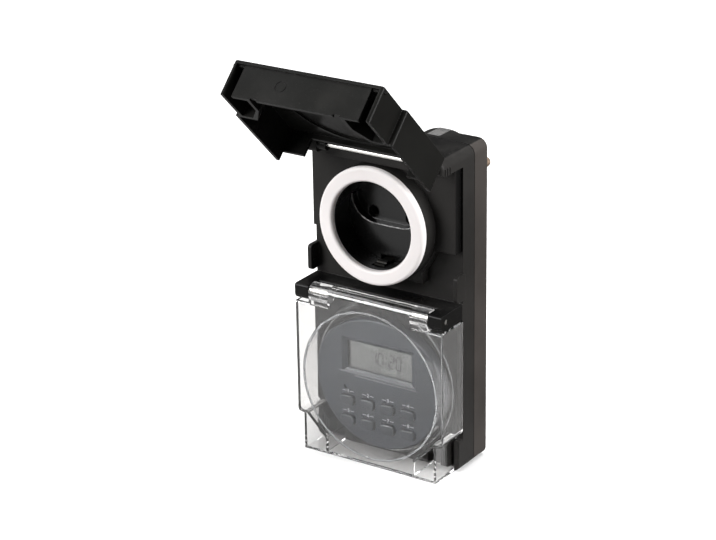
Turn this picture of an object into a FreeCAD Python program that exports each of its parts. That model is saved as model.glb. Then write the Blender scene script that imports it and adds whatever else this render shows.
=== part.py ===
# Outdoor plug-in timer: a two-part housing with a plug behind, a socket under a hinged flap,
# and a digital timer under a hinged clear cover. Millimetres. +Z up, -Y towards the user, +Y into the wall.
# The origin is the centre of the plug's end face, where the pins leave it.
import FreeCAD, Part
import os

V = FreeCAD.Vector
ALONG_X = V(1, 0, 0)
ALONG_Y = V(0, 1, 0)
BOTH_SIDES = (-1, 1)

# clearances: a seat, a turning fit, flat faces that stay apart, and mouldings that pass each other
seat_gap = 0.05
turning_gap = 0.05
flat_gap = 0.3
passing_gap = 0.6

# how far a cutting solid runs past a face, and how far fused solids reach into each other
past = 1.0
fused = 0.1

# plug and neck
pin_radius = 2.4
pin_length = 19.0
pin_half_spacing = 9.5
pin_shoulder_radius = 3.2
pin_shoulder_depth = 1.8
pin_shoulder_sunk = 0.4
pin_root_radius = 1.8
pin_root_reach = 2.4
neck_radius = 19.3
neck_length = 28.0
neck_wall = 2.2
neck_end_wall = 3.0
neck_end_round = 1.4
neck_flange_radius = 21.0
neck_flange_thickness = 1.6
neck_flat_depth = 1.6
neck_flat_half_height = 2.6
neck_flat_from_housing = 8.0
earth_strip_width = 6.0
earth_strip_thickness = 0.8
earth_strip_length = 12.4
earth_strip_from_end = 1.6

# housing
top_above_plug = 29.0
top_corner = 4.5
bottom_corner = 3.0
least_corner = 0.5
back_round = 1.2
rear_depth = 11.4
front_depth = 9.0
shell_wall = 2.0
front_wall = 2.5
pad_rise = 4.0
pad_inset = 1.3
pad_round = 0.5
pad_under_block = 1.0
seam_line = 0.4
seal_width = 0.8
seal_depth = 0.8
seal_from_side = 0.65
notch_width = 38.0
notch_depth = 8.5
notch_drop = 4.5

# socket
socket_below_plug = 7.5
recess_radius = 19.9
recess_depth = 17.5
well_wall = 2.3
well_flange_width = 2.2
well_flange_thickness = 1.4
collar_radius = 26.4
collar_rise = 7.2
collar_round = 0.5
ring_inner_radius = 20.0
ring_thickness = 2.8
ring_round = 1.3
socket_floor = 2.0
pin_hole_radius = 2.65
step_height = 4.0
step_below_axis = 3.5
step_side_wall = 1.6
step_round = 12.0
contact_length = 9.5
contact_wall = 0.6
contact_bore_radius = 2.45
contact_slit = 0.8
contact_unslit = 3.0
contact_tail_width = 3.4
contact_tail_thickness = 0.8
contact_tail_inset = 0.3
carrier_beside_contact = 2.1
carrier_half_height = 6.2
carrier_behind_contact = 1.0
carrier_corner = 1.5
carrier_tail_gap = 0.5
carrier_floor = 3.0
clip_width = 5.0
clip_thickness = 0.8
clip_gap = 0.1
clip_bump_radius = 1.3
clip_bump_from_collar = 7.0
clip_from_collar = 4.0
clip_slot_margin = 0.9
clip_foot_from_axis = 7.0

# flap over the socket
flap_axis_from_pad = 10.0
flap_axis_below_top = 3.1
flap_open_deg = 135.0
flap_wall = 1.5
flap_plate = 1.6
flap_front_above_axis = 2.6
flap_start = 4.7
flap_step_at = 44.3
flap_length = 62.5
flap_step_in = 2.3
flap_rim_gap = 0.4
flap_edge_round = 0.7
flap_corner_round = 1.2
flap_pocket_mouth_in = 7.0
flap_pocket_in = 12.6
flap_pocket_at = 52.3
flap_end_panel_in = 5.5
flap_end_inset = 0.8
flap_notch_x = 20.0
flap_notch_width = 3.2
flap_notch_depth = 0.8
flap_mark_x = -10.0
flap_mark_radius = 2.6
flap_mark_line = 0.4
flap_mark_depth = 0.2
flap_ring_inside_collar = 0.4
flap_ring_wall = 1.6
ring_rib_gap = 0.1
flap_rib_height = 0.7
flap_rib_width = 1.2
flap_rib_below_socket = 27.5
flap_end_wall_depth = 2.4
rod_radius = 1.0
rod_end_inset = 2.3
rod_end_round = 0.3
knuckle_from_side = 12.6
knuckle_width = 4.3
hinge_gap = 0.3
hinge_overlap = 1.0
hood_below_axis = 3.9
hood_front_behind_flap = 0.2
hood_front_round = 2.0
hood_wall_behind_axis = 4.6
hood_wall_drop = 2.5
hood_rib_proud = 0.35
hood_rib_width = 0.8
hood_rib_height = 3.2
hood_rib_pitch = 1.9
hood_ribs = 3
pad_pocket_gap = 1.0
pad_foot_below_socket = 25.0

# snap tongues that the closed flap's side walls pass
tongue_rise = 6.0
tongue_below_step = 7.2
tongue_height = 11.7
tongue_thickness = 1.8
tongue_gap = 0.4
tongue_round = 1.6
nib_radius = 0.7
nib_length = 1.6
nib_from_tip = 1.8
nib_from_top = 2.6
nib_pitch = 4.2

# timer face, keys and display
face_radius = 32.0
face_rise = 5.0
face_plate = 2.0
face_top_radius = 37.0
face_top_reach = 28.4
face_wall = 1.2
face_round = 0.9
face_spigot = 0.9
face_spigot_gap = 0.1
face_spigot_from = 3.3
window_width = 33.5
window_height = 13.2
window_above_timer = 9.3
window_bevel = 2.0
window_bevel_depth = 1.4
lens_thickness = 1.0
lens_margin = 1.2
lens_corner = 0.8
key_width = 7.0
key_height = 4.8
key_corner = 1.5
key_rise = 1.5
key_round = 0.6
key_travel = 0.8
key_gap = 0.25
key_flange = 0.5
key_flange_thickness = 0.9
key_stem_radius = 1.8
key_stem_length = 2.3
key_pitch_x = 10.4
key_pitch_z = 9.6
key_columns = 4
key_rows = 2
keys_below_timer = 12.1
reset_x = -17.0
reset_below_timer = 6.2
reset_hole_radius = 0.9
reset_tip_sunk = 0.9
reset_tip_gap = 0.2
reset_flange_radius = 1.6
reset_stem_radius = 0.9

# clear cover
cover_axis_from_pad = 9.4
cover_axis_below_plug = 42.9
cover_gap = 0.3
cover_wall = 1.2
cover_plate = 1.6
cover_barrel_radius = 4.0
cover_start = 4.8
cover_shoulder_from_end = 17.2
cover_past_housing = 0.7
cover_narrow_in = 3.3
cover_shoulder_step = 1.4
cover_pocket_in = 11.2
cover_pocket_from_end = 7.4
cover_edge_round = 0.8
cover_corner_round = 3.0
cover_wall_setback = 0.4
cover_neck_thickness = 3.4
cover_lip_past_axis = 1.2
skirt_outside_face = 2.8
side_outside_skirt = 2.9
axis_above_skirt = 3.0
housing_below_skirt = 2.0
skirt_wall = 1.2
skirt_seal_width = 2.3
skirt_seal_thickness = 0.75
hinge_pin_radius = 1.2
hinge_pin_sunk = 0.4
hinge_pin_past_knuckle = 0.6
cover_knuckle_from_side = 7.2
cover_knuckle_width = 9.3

# bridge between flap and cover, and the catches and posts at the cover's lower corners
bridge_above_axis = 3.4
bridge_below_axis = 3.9
bridge_middle_below_axis = 2.5
bridge_block_round = 3.0
bridge_edge_round = 1.2
bridge_middle_round = 0.8
post_rise = 3.1
post_gap = 0.4
post_round = 1.0
catch_width = 4.0
catch_rise = 6.5
catch_gap = 0.4
catch_headroom = 2.4
catch_above_bottom = 2.6
catch_round = 0.8
catch_grooves = 3
catch_groove_width = 0.5
catch_groove_depth = 0.8

# display parts and boards inside
glass_thickness = 1.1
glass_margin = 0.8
glass_ledge = 1.6
frame_wall = 1.4
frame_gap = 0.2
strip_height = 1.8
board_thickness = 1.6
display_board_behind_pad = 4.8
display_board_half = 21.0
display_board_below_timer = 24.7
display_board_corner = 4.0
display_board_margin = 3.0
mat_thickness = 1.0
mat_half_width = 19.5
mat_margin = 2.6
mat_corner = 1.5
dome_radius = 2.1
dome_gap = 0.1
reset_dome_radius = 1.3
chip_radius = 5.5
chip_thickness = 1.3
chip_round = 1.0
chip_x = 3.0
chip_below_window = 3.0
crystal_radius = 1.0
crystal_length = 6.2
crystal_left_x = -16.0
crystal_below_window = 4.0
header_width = 16.0
header_height = 2.5
header_pin = 0.6
header_pitch = 2.54
header_pins = 6
header_above_edge = 1.0
power_board_gap = 2.0
power_board_from_side = 8.0
power_board_top_below_plug = 34.0
power_board_above_bottom = 10.7
power_board_corner = 2.0
board_post_radius = 2.2
board_post_from_side = 3.5
board_post_from_edge = 6.0
board_hole_radius = 1.2
board_screw_radius = 0.75
board_screw_head_radius = 1.9
board_screw_head_height = 1.2
relay_size = (28.5, 10.0, 13.0)
relay_left_x = -1.0
relay_below_edge = 28.0
dropper_size = (21.0, 9.0, 9.5)
dropper_left_x = -27.0
dropper_below_edge = 32.0
component_round = 0.6
smoothing_radius = 4.0
smoothing_length = 14.0
smoothing_left_x = -26.0
smoothing_below_edge = 42.0
cell_radius = 7.8
cell_thickness = 5.0
cell_tab = 0.2
cell_tab_width = 5.0
cell_tab_past = 0.7
cell_x = 14.0
cell_below_edge = 46.0
diode_count = 4
diode_pitch = 4.2
diode_radius = 1.3
diode_length = 5.2
diode_above_board = 0.2
diode_x = -18.4
first_diode_below_edge = 52.0
lead_radius = 0.35
lead_length = 11.2
bar_thickness = 0.8
bar_half_width = 2.4
bar_top = 7.0
bar_below_pin = 3.2
bar_depth = 37.0
bar_x = 20.0
bar_turn_z = 2.5
bar_on_board = 7.0
link_x = 17.2

# housing screws
screw_shank_radius = 1.5
screw_head_radius = 2.9
screw_head_height = 2.2
screw_head_round = 0.6
screw_head_sunk = 4.5
screw_slot_length = 3.4
screw_slot_width = 0.7
screw_slot_depth = 1.2
screw_into_front = 5.0
screw_boss_radius = 4.0
screw_boss_wall = 2.0
screw_from_side = 7.0
screw_from_top = 7.5
screw_from_bottom = 7.0

# planes along the depth, from the plug's end face towards the user
back_y = -neck_length
seam_y = back_y - rear_depth
rim_y = seam_y - front_depth
pad_y = rim_y - pad_rise
rear_inner_y = back_y - shell_wall
front_inner_y = rim_y + front_wall
pad_inner_y = pad_y + shell_wall
collar_y = pad_y - collar_rise
ring_front_y = collar_y - ring_thickness
recess_floor_y = ring_front_y + recess_depth
well_back_y = recess_floor_y + socket_floor
flap_axis_y = pad_y - flap_axis_from_pad
flap_front_y = flap_axis_y - flap_front_above_axis
flap_inner_y = flap_front_y + flap_plate
flap_rim_y = rim_y - flap_rim_gap
cover_axis_y = pad_y - cover_axis_from_pad
cover_front_y = cover_axis_y - cover_barrel_radius
cover_rim_y = rim_y - cover_gap
skirt_rim_y = pad_y - cover_gap
face_y = pad_y - face_rise
face_back_y = face_y + face_plate
glass_y = face_back_y + lens_thickness + flat_gap
key_stem_y = face_back_y + key_flange_thickness + 0.1 + key_stem_length
display_board_y = pad_y + display_board_behind_pad
display_board_back_y = display_board_y + board_thickness
power_board_y = rear_inner_y - power_board_gap
power_board_front_y = power_board_y - board_thickness

# levels along the height, from the plug's axis; the timer's round cover sets the housing's lower end
housing_top = top_above_plug
socket_z = -socket_below_plug
flap_axis_z = housing_top - flap_axis_below_top
flap_start_z = flap_axis_z - flap_start
flap_step_z = flap_axis_z - flap_step_at
flap_pocket_z = flap_axis_z - flap_pocket_at
flap_end_z = flap_axis_z - flap_length
flap_panel_z = flap_end_z + flap_end_inset
hood_bottom = flap_axis_z - hood_below_axis
pad_ledge_z = flap_step_z + flap_wall + passing_gap
pad_foot_z = socket_z - pad_foot_below_socket
tongue_high = flap_step_z - tongue_below_step
tongue_low = tongue_high - tongue_height
cover_axis_z = -cover_axis_below_plug
skirt_radius = face_radius + skirt_outside_face
timer_z = cover_axis_z - axis_above_skirt - skirt_radius
housing_bottom = timer_z - skirt_radius - housing_below_skirt
cover_start_z = cover_axis_z - cover_start
cover_bottom = housing_bottom - cover_past_housing
cover_shoulder_z = cover_bottom + cover_shoulder_from_end
cover_pocket_z = cover_bottom + cover_pocket_from_end
bridge_top = cover_axis_z + bridge_above_axis
bridge_bottom = cover_axis_z - bridge_below_axis
window_z = timer_z + window_above_timer
first_key_row_z = timer_z - keys_below_timer
last_key_row_z = first_key_row_z - key_pitch_z * (key_rows - 1)
reset_z = timer_z - reset_below_timer
display_board_bottom = timer_z - display_board_below_timer
power_board_top = -power_board_top_below_plug
power_board_bottom = housing_bottom + power_board_above_bottom
bar_foot_z = power_board_top - bar_on_board

# half widths and radii; the timer's round cover sets the housing's width
cover_half = skirt_radius + side_outside_skirt
pad_half = cover_half - cover_wall - cover_gap
half_width = pad_half + pad_inset
flap_inner_half = pad_half + passing_gap
flap_half = flap_inner_half + flap_wall
flap_narrow_half = flap_half - flap_step_in
flap_pocket_mouth = flap_narrow_half - flap_pocket_mouth_in
flap_pocket_x = flap_narrow_half - flap_pocket_in
flap_end_panel = flap_narrow_half - flap_end_panel_in
flap_ring_radius = collar_radius - flap_ring_inside_collar
knuckle_outer = half_width - knuckle_from_side
knuckle_inner = knuckle_outer - knuckle_width
cover_narrow_half = cover_half - cover_narrow_in
cover_pocket_x = cover_narrow_half - cover_pocket_in
cover_knuckle_outer = half_width - cover_knuckle_from_side
cover_knuckle_inner = cover_knuckle_outer - cover_knuckle_width
screw_x = half_width - screw_from_side
power_board_half = half_width - power_board_from_side
board_post_x = power_board_half - board_post_from_side
well_radius = recess_radius + well_wall
hood_inner = knuckle_outer + hinge_gap


def box(x0, x1, y0, y1, z0, z1):
    """Block between two corners, given in either order along each axis."""
    low = V(min(x0, x1), min(y0, y1), min(z0, z1))
    return Part.makeBox(abs(x1 - x0), abs(y1 - y0), abs(z1 - z0), low)


def cylinder_y(radius, y0, y1, x=0.0, z=0.0):
    """Cylinder along Y."""
    return Part.makeCylinder(radius, y1 - y0, V(x, y0, z), ALONG_Y)


def cylinder_x(radius, x0, x1, y, z):
    """Cylinder along X."""
    return Part.makeCylinder(radius, x1 - x0, V(x0, y, z), ALONG_X)


def tube_y(outer, inner, y0, y1, x=0.0, z=0.0):
    """Tube along Y."""
    return cylinder_y(outer, y0, y1, x, z).cut(cylinder_y(inner, y0, y1, x, z))


def prism_y(outline, y0, y1):
    """Solid of an outline of (x, z) points, extruded along Y."""
    points = [V(x, y0, z) for x, z in outline]
    face = Part.Face(Part.makePolygon(points + points[:1]))
    return face.extrude(V(0, y1 - y0, 0))


def runs_along(edge, axis):
    """True for a straight edge along the axis."""
    if not isinstance(edge.Curve, Part.Line):
        return False
    return abs(edge.Curve.Direction.dot(axis)) > 0.999


def lies_at(edge, x, y, z, near=0.01):
    """True where every given coordinate holds at both ends of the edge."""
    for vertex in edge.Vertexes:
        point = vertex.Point
        for wanted, found in ((x, point.x), (y, point.y), (z, point.z)):
            if wanted is not None and abs(found - wanted) > near:
                return False
    return True


def round_edges(shape, radius, along=None, x=None, y=None, z=None):
    """Round the edges at the given coordinates, or only those of them that run along an axis."""
    edges = [edge for edge in shape.Edges
             if lies_at(edge, x, y, z) and (along is None or runs_along(edge, along))]
    return shape.makeFillet(radius, edges)


def round_circles(shape, radius):
    """Round every circular edge."""
    return shape.makeFillet(radius, [edge for edge in shape.Edges if isinstance(edge.Curve, Part.Circle)])


def rounded_block(x0, x1, y0, y1, z0, z1, radius):
    """Block with its four edges along Y rounded."""
    return round_edges(box(x0, x1, y0, y1, z0, z1), radius, along=ALONG_Y)


def mirrored(shape):
    """The same shape on the other side of the middle plane."""
    return shape.mirror(V(0, 0, 0), ALONG_X)


def with_mirror(shape):
    """The shape together with its mirror image."""
    return shape.fuse(mirrored(shape))


def symmetric(outline):
    """Outline of a right half, from top to bottom, closed through its mirror image."""
    return outline + [(-x, z) for x, z in reversed(outline)]


def housing_block(y0, y1, inset=0.0):
    """Block of the housing's outline, drawn in by an inset, with its corners rounded."""
    half = half_width - inset
    block = box(-half, half, y0, y1, housing_bottom + inset, housing_top - inset)
    block = round_edges(block, max(top_corner - inset, least_corner), along=ALONG_Y, z=housing_top - inset)
    radius = max(bottom_corner - inset, least_corner)
    return round_edges(block, radius, along=ALONG_Y, z=housing_bottom + inset)


def housing_band(y0, y1, inset, width):
    """Ring of the housing's outline, an inset from its sides and of the given width."""
    return housing_block(y0, y1, inset).cut(housing_block(y0, y1, inset + width))


def screw_places():
    """Centres of the four housing screws."""
    levels = (housing_top - screw_from_top, housing_bottom + screw_from_bottom)
    return [(side * screw_x, z) for side in BOTH_SIDES for z in levels]


def board_post_places():
    """Centres of the posts that carry the power board."""
    levels = (power_board_top - board_post_from_edge, power_board_bottom + board_post_from_edge)
    return [(side * board_post_x, z) for side in BOTH_SIDES for z in levels]


def key_places():
    """Centres of the keys, row by row from the top left."""
    left = -key_pitch_x * (key_columns - 1) / 2
    return [(left + column * key_pitch_x, first_key_row_z - row * key_pitch_z)
            for row in range(key_rows) for column in range(key_columns)]


def socket_pad_outline():
    """Pad round the socket: full width, then stepped in and tapered to fit between the flap's pockets."""
    mouth = flap_pocket_mouth - flap_wall - pad_pocket_gap
    narrow = flap_pocket_x - flap_wall - 2 * pad_pocket_gap
    return symmetric([(pad_half, hood_bottom + pad_under_block), (pad_half, pad_ledge_z),
                      (mouth, pad_ledge_z), (narrow, flap_pocket_z - pad_pocket_gap), (narrow, pad_foot_z)])


def timer_pad_outline(inset=0.0):
    """Pad round the timer, with its lower corners cut off inside the clear cover's corner pockets."""
    clear = cover_wall + cover_gap
    ledge_z = cover_shoulder_z + clear + inset
    ledge_x = cover_narrow_half - 2 * cover_shoulder_step - inset
    narrow = cover_pocket_x - clear - inset
    half = pad_half - inset
    return symmetric([(half, bridge_top - pad_under_block), (half, ledge_z), (ledge_x, ledge_z),
                      (narrow, cover_pocket_z + clear + inset), (narrow, cover_bottom + clear + inset)])


def socket_pad():
    """Pad round the socket, with its front edge rounded."""
    return round_edges(prism_y(socket_pad_outline(), pad_y, front_inner_y), pad_round, y=pad_y)


def timer_pad():
    """Pad round the timer, with its front edge rounded and its shoulders inside the clear cover's."""
    solid = prism_y(timer_pad_outline(), pad_y, front_inner_y)
    clear = cover_wall + cover_gap
    for side in BOTH_SIDES:
        solid = round_edges(solid, cover_corner_round - clear, along=ALONG_Y, x=side * pad_half,
                            z=cover_shoulder_z + clear)
    return round_edges(solid, pad_round, y=pad_y)


def face_disc(radius, y0, y1, z, front_round):
    """Disc on the middle plane, with its front edge rounded where asked."""
    disc = cylinder_y(radius, y0, y1, 0, z)
    return round_edges(disc, front_round, y=y0) if front_round else disc


def face_outline_solid(inset, y0, y1, front_round=0.0):
    """Round face with a flatter arc across its top, drawn in by an inset."""
    top_z = timer_z + face_top_reach - inset - face_top_radius
    disc = face_disc(face_radius - inset, y0, y1, timer_z, front_round)
    return disc.common(face_disc(face_top_radius, y0, y1, top_z, front_round))


def hood_rib(step):
    """Small upright rib on the side of the hood, one of a row."""
    y = flap_axis_y - hood_rib_width / 2 + hood_rib_pitch * step
    return box(half_width - hood_rib_proud, half_width + hood_rib_proud, y, y + hood_rib_width,
               hood_bottom, hood_bottom + hood_rib_height)


def flap_hood():
    """Hood over the flap's hinge: a block each side that holds the rod, and a low wall between them."""
    front_y = flap_front_y + hood_front_behind_flap
    block = box(hood_inner, half_width, front_y, front_inner_y, hood_bottom, housing_top)
    block = round_edges(block, top_corner, along=ALONG_Y, x=half_width, z=housing_top)
    block = round_edges(block, hood_front_round, along=ALONG_X, y=front_y)
    block = block.fuse([hood_rib(step) for step in range(hood_ribs)])
    wall = box(-hood_inner, hood_inner, flap_axis_y + hood_wall_behind_axis, front_inner_y,
               hood_bottom - hood_wall_drop, housing_top)
    return with_mirror(block).fuse(wall)


def bridge():
    """Bar between the flap and the cover, with an end block each side that holds the cover's hinge pin."""
    inner = cover_knuckle_outer + hinge_gap
    block = box(inner, half_width, cover_front_y, front_inner_y, bridge_bottom, bridge_top)
    block = round_edges(block, bridge_block_round, along=ALONG_X, y=cover_front_y, z=bridge_bottom)
    block = round_edges(block, bridge_edge_round, along=ALONG_X, y=cover_front_y, z=bridge_top)
    hole = cylinder_x(hinge_pin_radius + seat_gap, 0, half_width + past, cover_axis_y, cover_axis_z)
    block = block.cut(hole)
    middle_y = cover_axis_y + cover_barrel_radius + hinge_gap
    half = cover_knuckle_outer + past
    middle = box(-half, half, middle_y, front_inner_y, cover_axis_z - bridge_middle_below_axis, bridge_top)
    middle = round_edges(middle, bridge_middle_round, along=ALONG_X, y=middle_y, z=bridge_top)
    return with_mirror(block).fuse(middle)


def snap_tongue():
    """Tongue beside the closed flap's side wall, with two nibs on its inside that hold the flap shut."""
    inner = flap_narrow_half + tongue_gap
    tip_y = rim_y - tongue_rise
    plate = box(inner, inner + tongue_thickness, tip_y, rim_y + past, tongue_low, tongue_high)
    plate = round_edges(plate, tongue_round, along=ALONG_X, y=tip_y)
    first_z = tongue_high - nib_from_top
    nibs = [cylinder_y(nib_radius, tip_y + nib_from_tip, tip_y + nib_from_tip + nib_length,
                       inner + nib_radius - flat_gap / 2, z) for z in (first_z, first_z - nib_pitch)]
    return plate.fuse(nibs)


def corner_post():
    """Low post beside the clear cover's lower corner pocket."""
    top_z = cover_shoulder_z - cover_wall - passing_gap
    tip_y = rim_y - post_rise
    post = box(cover_narrow_half + post_gap, half_width, tip_y, rim_y + past, housing_bottom, top_z)
    post = round_edges(post, post_round, along=ALONG_Y, z=top_z)
    return post.common(housing_block(tip_y, rim_y + past))


def collar():
    """Ring round the socket that carries the seal, with its front edge rounded."""
    solid = cylinder_y(collar_radius, collar_y, front_inner_y, 0, socket_z)
    return round_edges(solid, collar_round, y=collar_y)


def front_shell():
    """Front half of the housing with both pads, the hood, the bridge, the collar and the snap tongues."""
    solid = housing_block(rim_y, seam_y)
    sides = [with_mirror(snap_tongue()), with_mirror(corner_post())]
    solid = solid.fuse(sides + [socket_pad(), timer_pad(), flap_hood(), bridge(), collar()])
    solid = solid.cut(housing_block(front_inner_y, seam_y, shell_wall))
    solid = solid.cut(prism_y(timer_pad_outline(shell_wall), pad_inner_y, front_inner_y + fused))
    solid = solid.cut(cylinder_y(well_radius + seat_gap, collar_y - past, seam_y, 0, socket_z))
    solid = solid.cut(face_outline_solid(face_wall, pad_y - past, pad_inner_y + past))
    for x, z in screw_places():
        boss = cylinder_y(screw_shank_radius + screw_boss_wall, front_inner_y - fused, seam_y, x, z)
        hole = cylinder_y(screw_shank_radius + seat_gap, seam_y - screw_into_front - 0.5, seam_y, x, z)
        solid = solid.fuse(boss).cut(hole)
    seal_inset = seal_from_side - seat_gap
    solid = solid.cut(housing_band(seam_y - seal_depth, seam_y, seal_inset, seal_width + 2 * seat_gap))
    rod_half = half_width - rod_end_inset + flat_gap
    solid = solid.cut(cylinder_x(rod_radius + seat_gap, -rod_half, rod_half, flap_axis_y, flap_axis_z))
    groove = seal_ring(seat_gap, pad_y, pad_y + skirt_seal_thickness + seat_gap)
    return solid.cut(groove).removeSplitter()


def rear_shell():
    """Rear half of the housing, with the plug neck's hole, a notch in its top edge and the screw wells."""
    solid = round_edges(housing_block(seam_y, back_y), back_round, y=back_y)
    half = notch_width / 2
    notch_y = back_y - notch_depth
    notch_z = housing_top - notch_drop
    solid = solid.cut(box(-half, half, notch_y, back_y + past, notch_z, housing_top + past))
    keep_half = half + shell_wall
    keep = box(-keep_half, keep_half, notch_y - shell_wall, back_y, notch_z - shell_wall, housing_top)
    solid = solid.cut(housing_block(seam_y, rear_inner_y, shell_wall).cut(keep))
    solid = solid.cut(cylinder_y(neck_radius + seat_gap, rear_inner_y - past, back_y + past))
    for x, z in screw_places():
        solid = solid.fuse(cylinder_y(screw_boss_radius, seam_y, rear_inner_y + fused, x, z))
        head_seat_y = back_y - screw_head_sunk
        solid = solid.cut(cylinder_y(screw_head_radius + flat_gap, head_seat_y, back_y + past, x, z))
        solid = solid.cut(cylinder_y(screw_shank_radius + flat_gap, seam_y, back_y, x, z))
    for x, z in board_post_places():
        solid = solid.fuse(cylinder_y(board_post_radius, power_board_y, rear_inner_y + fused, x, z))
        solid = solid.cut(cylinder_y(board_screw_radius + seat_gap, power_board_y, rear_inner_y - 0.2, x, z))
    return solid.cut(housing_band(seam_y, seam_y + seam_line, 0.0, seam_line)).removeSplitter()


def seam_seal():
    """Rubber seal in the groove between the two shells."""
    return housing_band(seam_y - seal_depth, seam_y, seal_from_side, seal_width)


def housing_screws():
    """Four cross-slotted screws from the back, as separate solids."""
    screws = []
    seat_y = back_y - screw_head_sunk
    top_y = seat_y + screw_head_height
    half_length = screw_slot_length / 2
    half_slot = screw_slot_width / 2
    for x, z in screw_places():
        head = round_edges(cylinder_y(screw_head_radius, seat_y, top_y, x, z), screw_head_round, y=top_y)
        shank = cylinder_y(screw_shank_radius, seam_y - screw_into_front, seat_y, x, z)
        slot_y = top_y - screw_slot_depth
        along_x = box(x - half_length, x + half_length, slot_y, top_y, z - half_slot, z + half_slot)
        along_z = box(x - half_slot, x + half_slot, slot_y, top_y, z - half_length, z + half_length)
        screws.append(head.fuse(shank).cut(along_x.fuse(along_z)))
    return Part.makeCompound(screws)


def neck_side_flat():
    """Flat groove at the side of the neck, from its end towards the housing."""
    return box(neck_radius - neck_flat_depth, neck_radius + past, back_y + neck_flat_from_housing, past,
               -neck_flat_half_height, neck_flat_half_height)


def earth_strip(side, clear=0.0):
    """Earth strip at the top or bottom of the neck, or with a clearance the slot that it lies in."""
    half = earth_strip_width / 2 + clear
    inner = neck_radius - earth_strip_thickness - clear
    outer = neck_radius + (past if clear else 0)
    end_y = past if clear else -earth_strip_from_end
    start_y = -earth_strip_from_end - earth_strip_length - clear
    return box(-half, half, start_y, end_y, side * inner, side * outer)


def plug_neck():
    """Round neck that carries the pins into the wall socket, flanged inside the rear shell."""
    flange_y = rear_inner_y - neck_flange_thickness
    solid = round_edges(cylinder_y(neck_radius, rear_inner_y - fused, 0), neck_end_round, y=0)
    solid = solid.fuse(cylinder_y(neck_flange_radius, flange_y, rear_inner_y))
    solid = solid.cut(cylinder_y(neck_radius - neck_wall, flange_y, -neck_end_wall))
    solid = solid.cut(with_mirror(neck_side_flat()))
    for side in BOTH_SIDES:
        x = side * pin_half_spacing
        solid = solid.cut(earth_strip(side, seat_gap))
        solid = solid.cut(cylinder_y(pin_shoulder_radius + seat_gap, -pin_shoulder_depth, past, x, 0))
        solid = solid.cut(cylinder_y(pin_root_radius + seat_gap, -neck_end_wall - past, 0, x, 0))
    return solid


def plug_pin(side):
    """Round plug pin with a domed tip, a shoulder in the neck and a root that passes through it."""
    x = side * pin_half_spacing
    dome_y = pin_length - pin_radius
    dome = Part.makeSphere(pin_radius, V(x, dome_y, 0))
    shaft = cylinder_y(pin_radius, -pin_shoulder_depth, dome_y, x, 0)
    shoulder = cylinder_y(pin_shoulder_radius, -pin_shoulder_depth, -pin_shoulder_sunk, x, 0)
    root = cylinder_y(pin_root_radius, -neck_end_wall - pin_root_reach, -pin_shoulder_depth, x, 0)
    return shaft.fuse([dome, shoulder, root])


def plug_earth_strips():
    """Earth strips in the neck's top and bottom slots, as separate solids."""
    return Part.makeCompound([earth_strip(side) for side in BOTH_SIDES])


def busbar(side):
    """Brass bar from a plug pin's root, over the contact carrier and down the side to the power board."""
    x = side * pin_half_spacing
    near_x = x - side * bar_half_width
    far_x = x + side * bar_half_width
    outer_x = side * bar_x
    tab = box(near_x, far_x, -neck_end_wall - bar_thickness, -neck_end_wall, -bar_below_pin, bar_top)
    hole_y = -neck_end_wall - bar_thickness - past
    tab = tab.cut(cylinder_y(pin_root_radius + seat_gap, hole_y, -neck_end_wall + past, x, 0))
    arm = box(near_x, far_x, -bar_depth, -neck_end_wall, bar_top - bar_thickness, bar_top)
    across = box(near_x, outer_x, -bar_depth, -bar_depth + bar_thickness, bar_turn_z, bar_top)
    down = box(outer_x, outer_x - side * bar_thickness, -bar_depth, power_board_front_y, bar_foot_z, bar_top)
    return tab.fuse([arm, across, down])


def line_link():
    """Brass strip from the line contact's tail down to the switched side of the power board."""
    top_z = socket_z - contact_slit - flat_gap
    return box(link_x - bar_thickness, link_x, -bar_depth, power_board_front_y, bar_foot_z, top_z)


def clip_slot(side, y0, y1):
    """Room for an earth clip at the top or bottom of the recess."""
    half = clip_width / 2 + clip_slot_margin
    inner_z = socket_z + side * (recess_radius - 2 * clip_bump_radius)
    outer_z = socket_z + side * (well_radius + fused)
    return box(-half, half, y0, y1, inner_z, outer_z)


def socket_well():
    """Round wall of the recess that takes a plug, with a slot for each earth clip and a flange behind."""
    flange_radius = well_radius + well_flange_width
    flange_end_y = front_inner_y + well_flange_thickness
    solid = tube_y(well_radius, recess_radius, collar_y, well_back_y, 0, socket_z)
    solid = solid.fuse(tube_y(flange_radius, recess_radius, front_inner_y, flange_end_y, 0, socket_z))
    slot_y = collar_y + clip_from_collar - clip_slot_margin
    for side in BOTH_SIDES:
        solid = solid.cut(clip_slot(side, slot_y, well_back_y + fused))
    return solid


def socket_insert():
    """Floor of the recess with the pin holes and a raised lower step, seated inside the well's wall."""
    step_y = recess_floor_y - step_height
    half = recess_radius - step_side_wall
    top_z = socket_z - step_below_axis
    hollow = box(-half, half, step_y - past, recess_floor_y, top_z, socket_z + 2 * recess_radius)
    hollow = round_edges(hollow, step_round, along=ALONG_Y, z=top_z)
    solid = cylinder_y(recess_radius - seat_gap, step_y, well_back_y, 0, socket_z).cut(hollow)
    for side in BOTH_SIDES:
        x = side * pin_half_spacing
        solid = solid.cut(cylinder_y(pin_hole_radius, step_y - past, well_back_y + past, x, socket_z))
        solid = solid.cut(clip_slot(side, step_y - past, well_back_y + past))
    return solid


def sealing_ring():
    """Soft white ring on the collar that meets the plug or the closed flap."""
    ring = tube_y(collar_radius, ring_inner_radius, ring_front_y, collar_y, 0, socket_z)
    return round_edges(ring, ring_round, y=ring_front_y)


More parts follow.
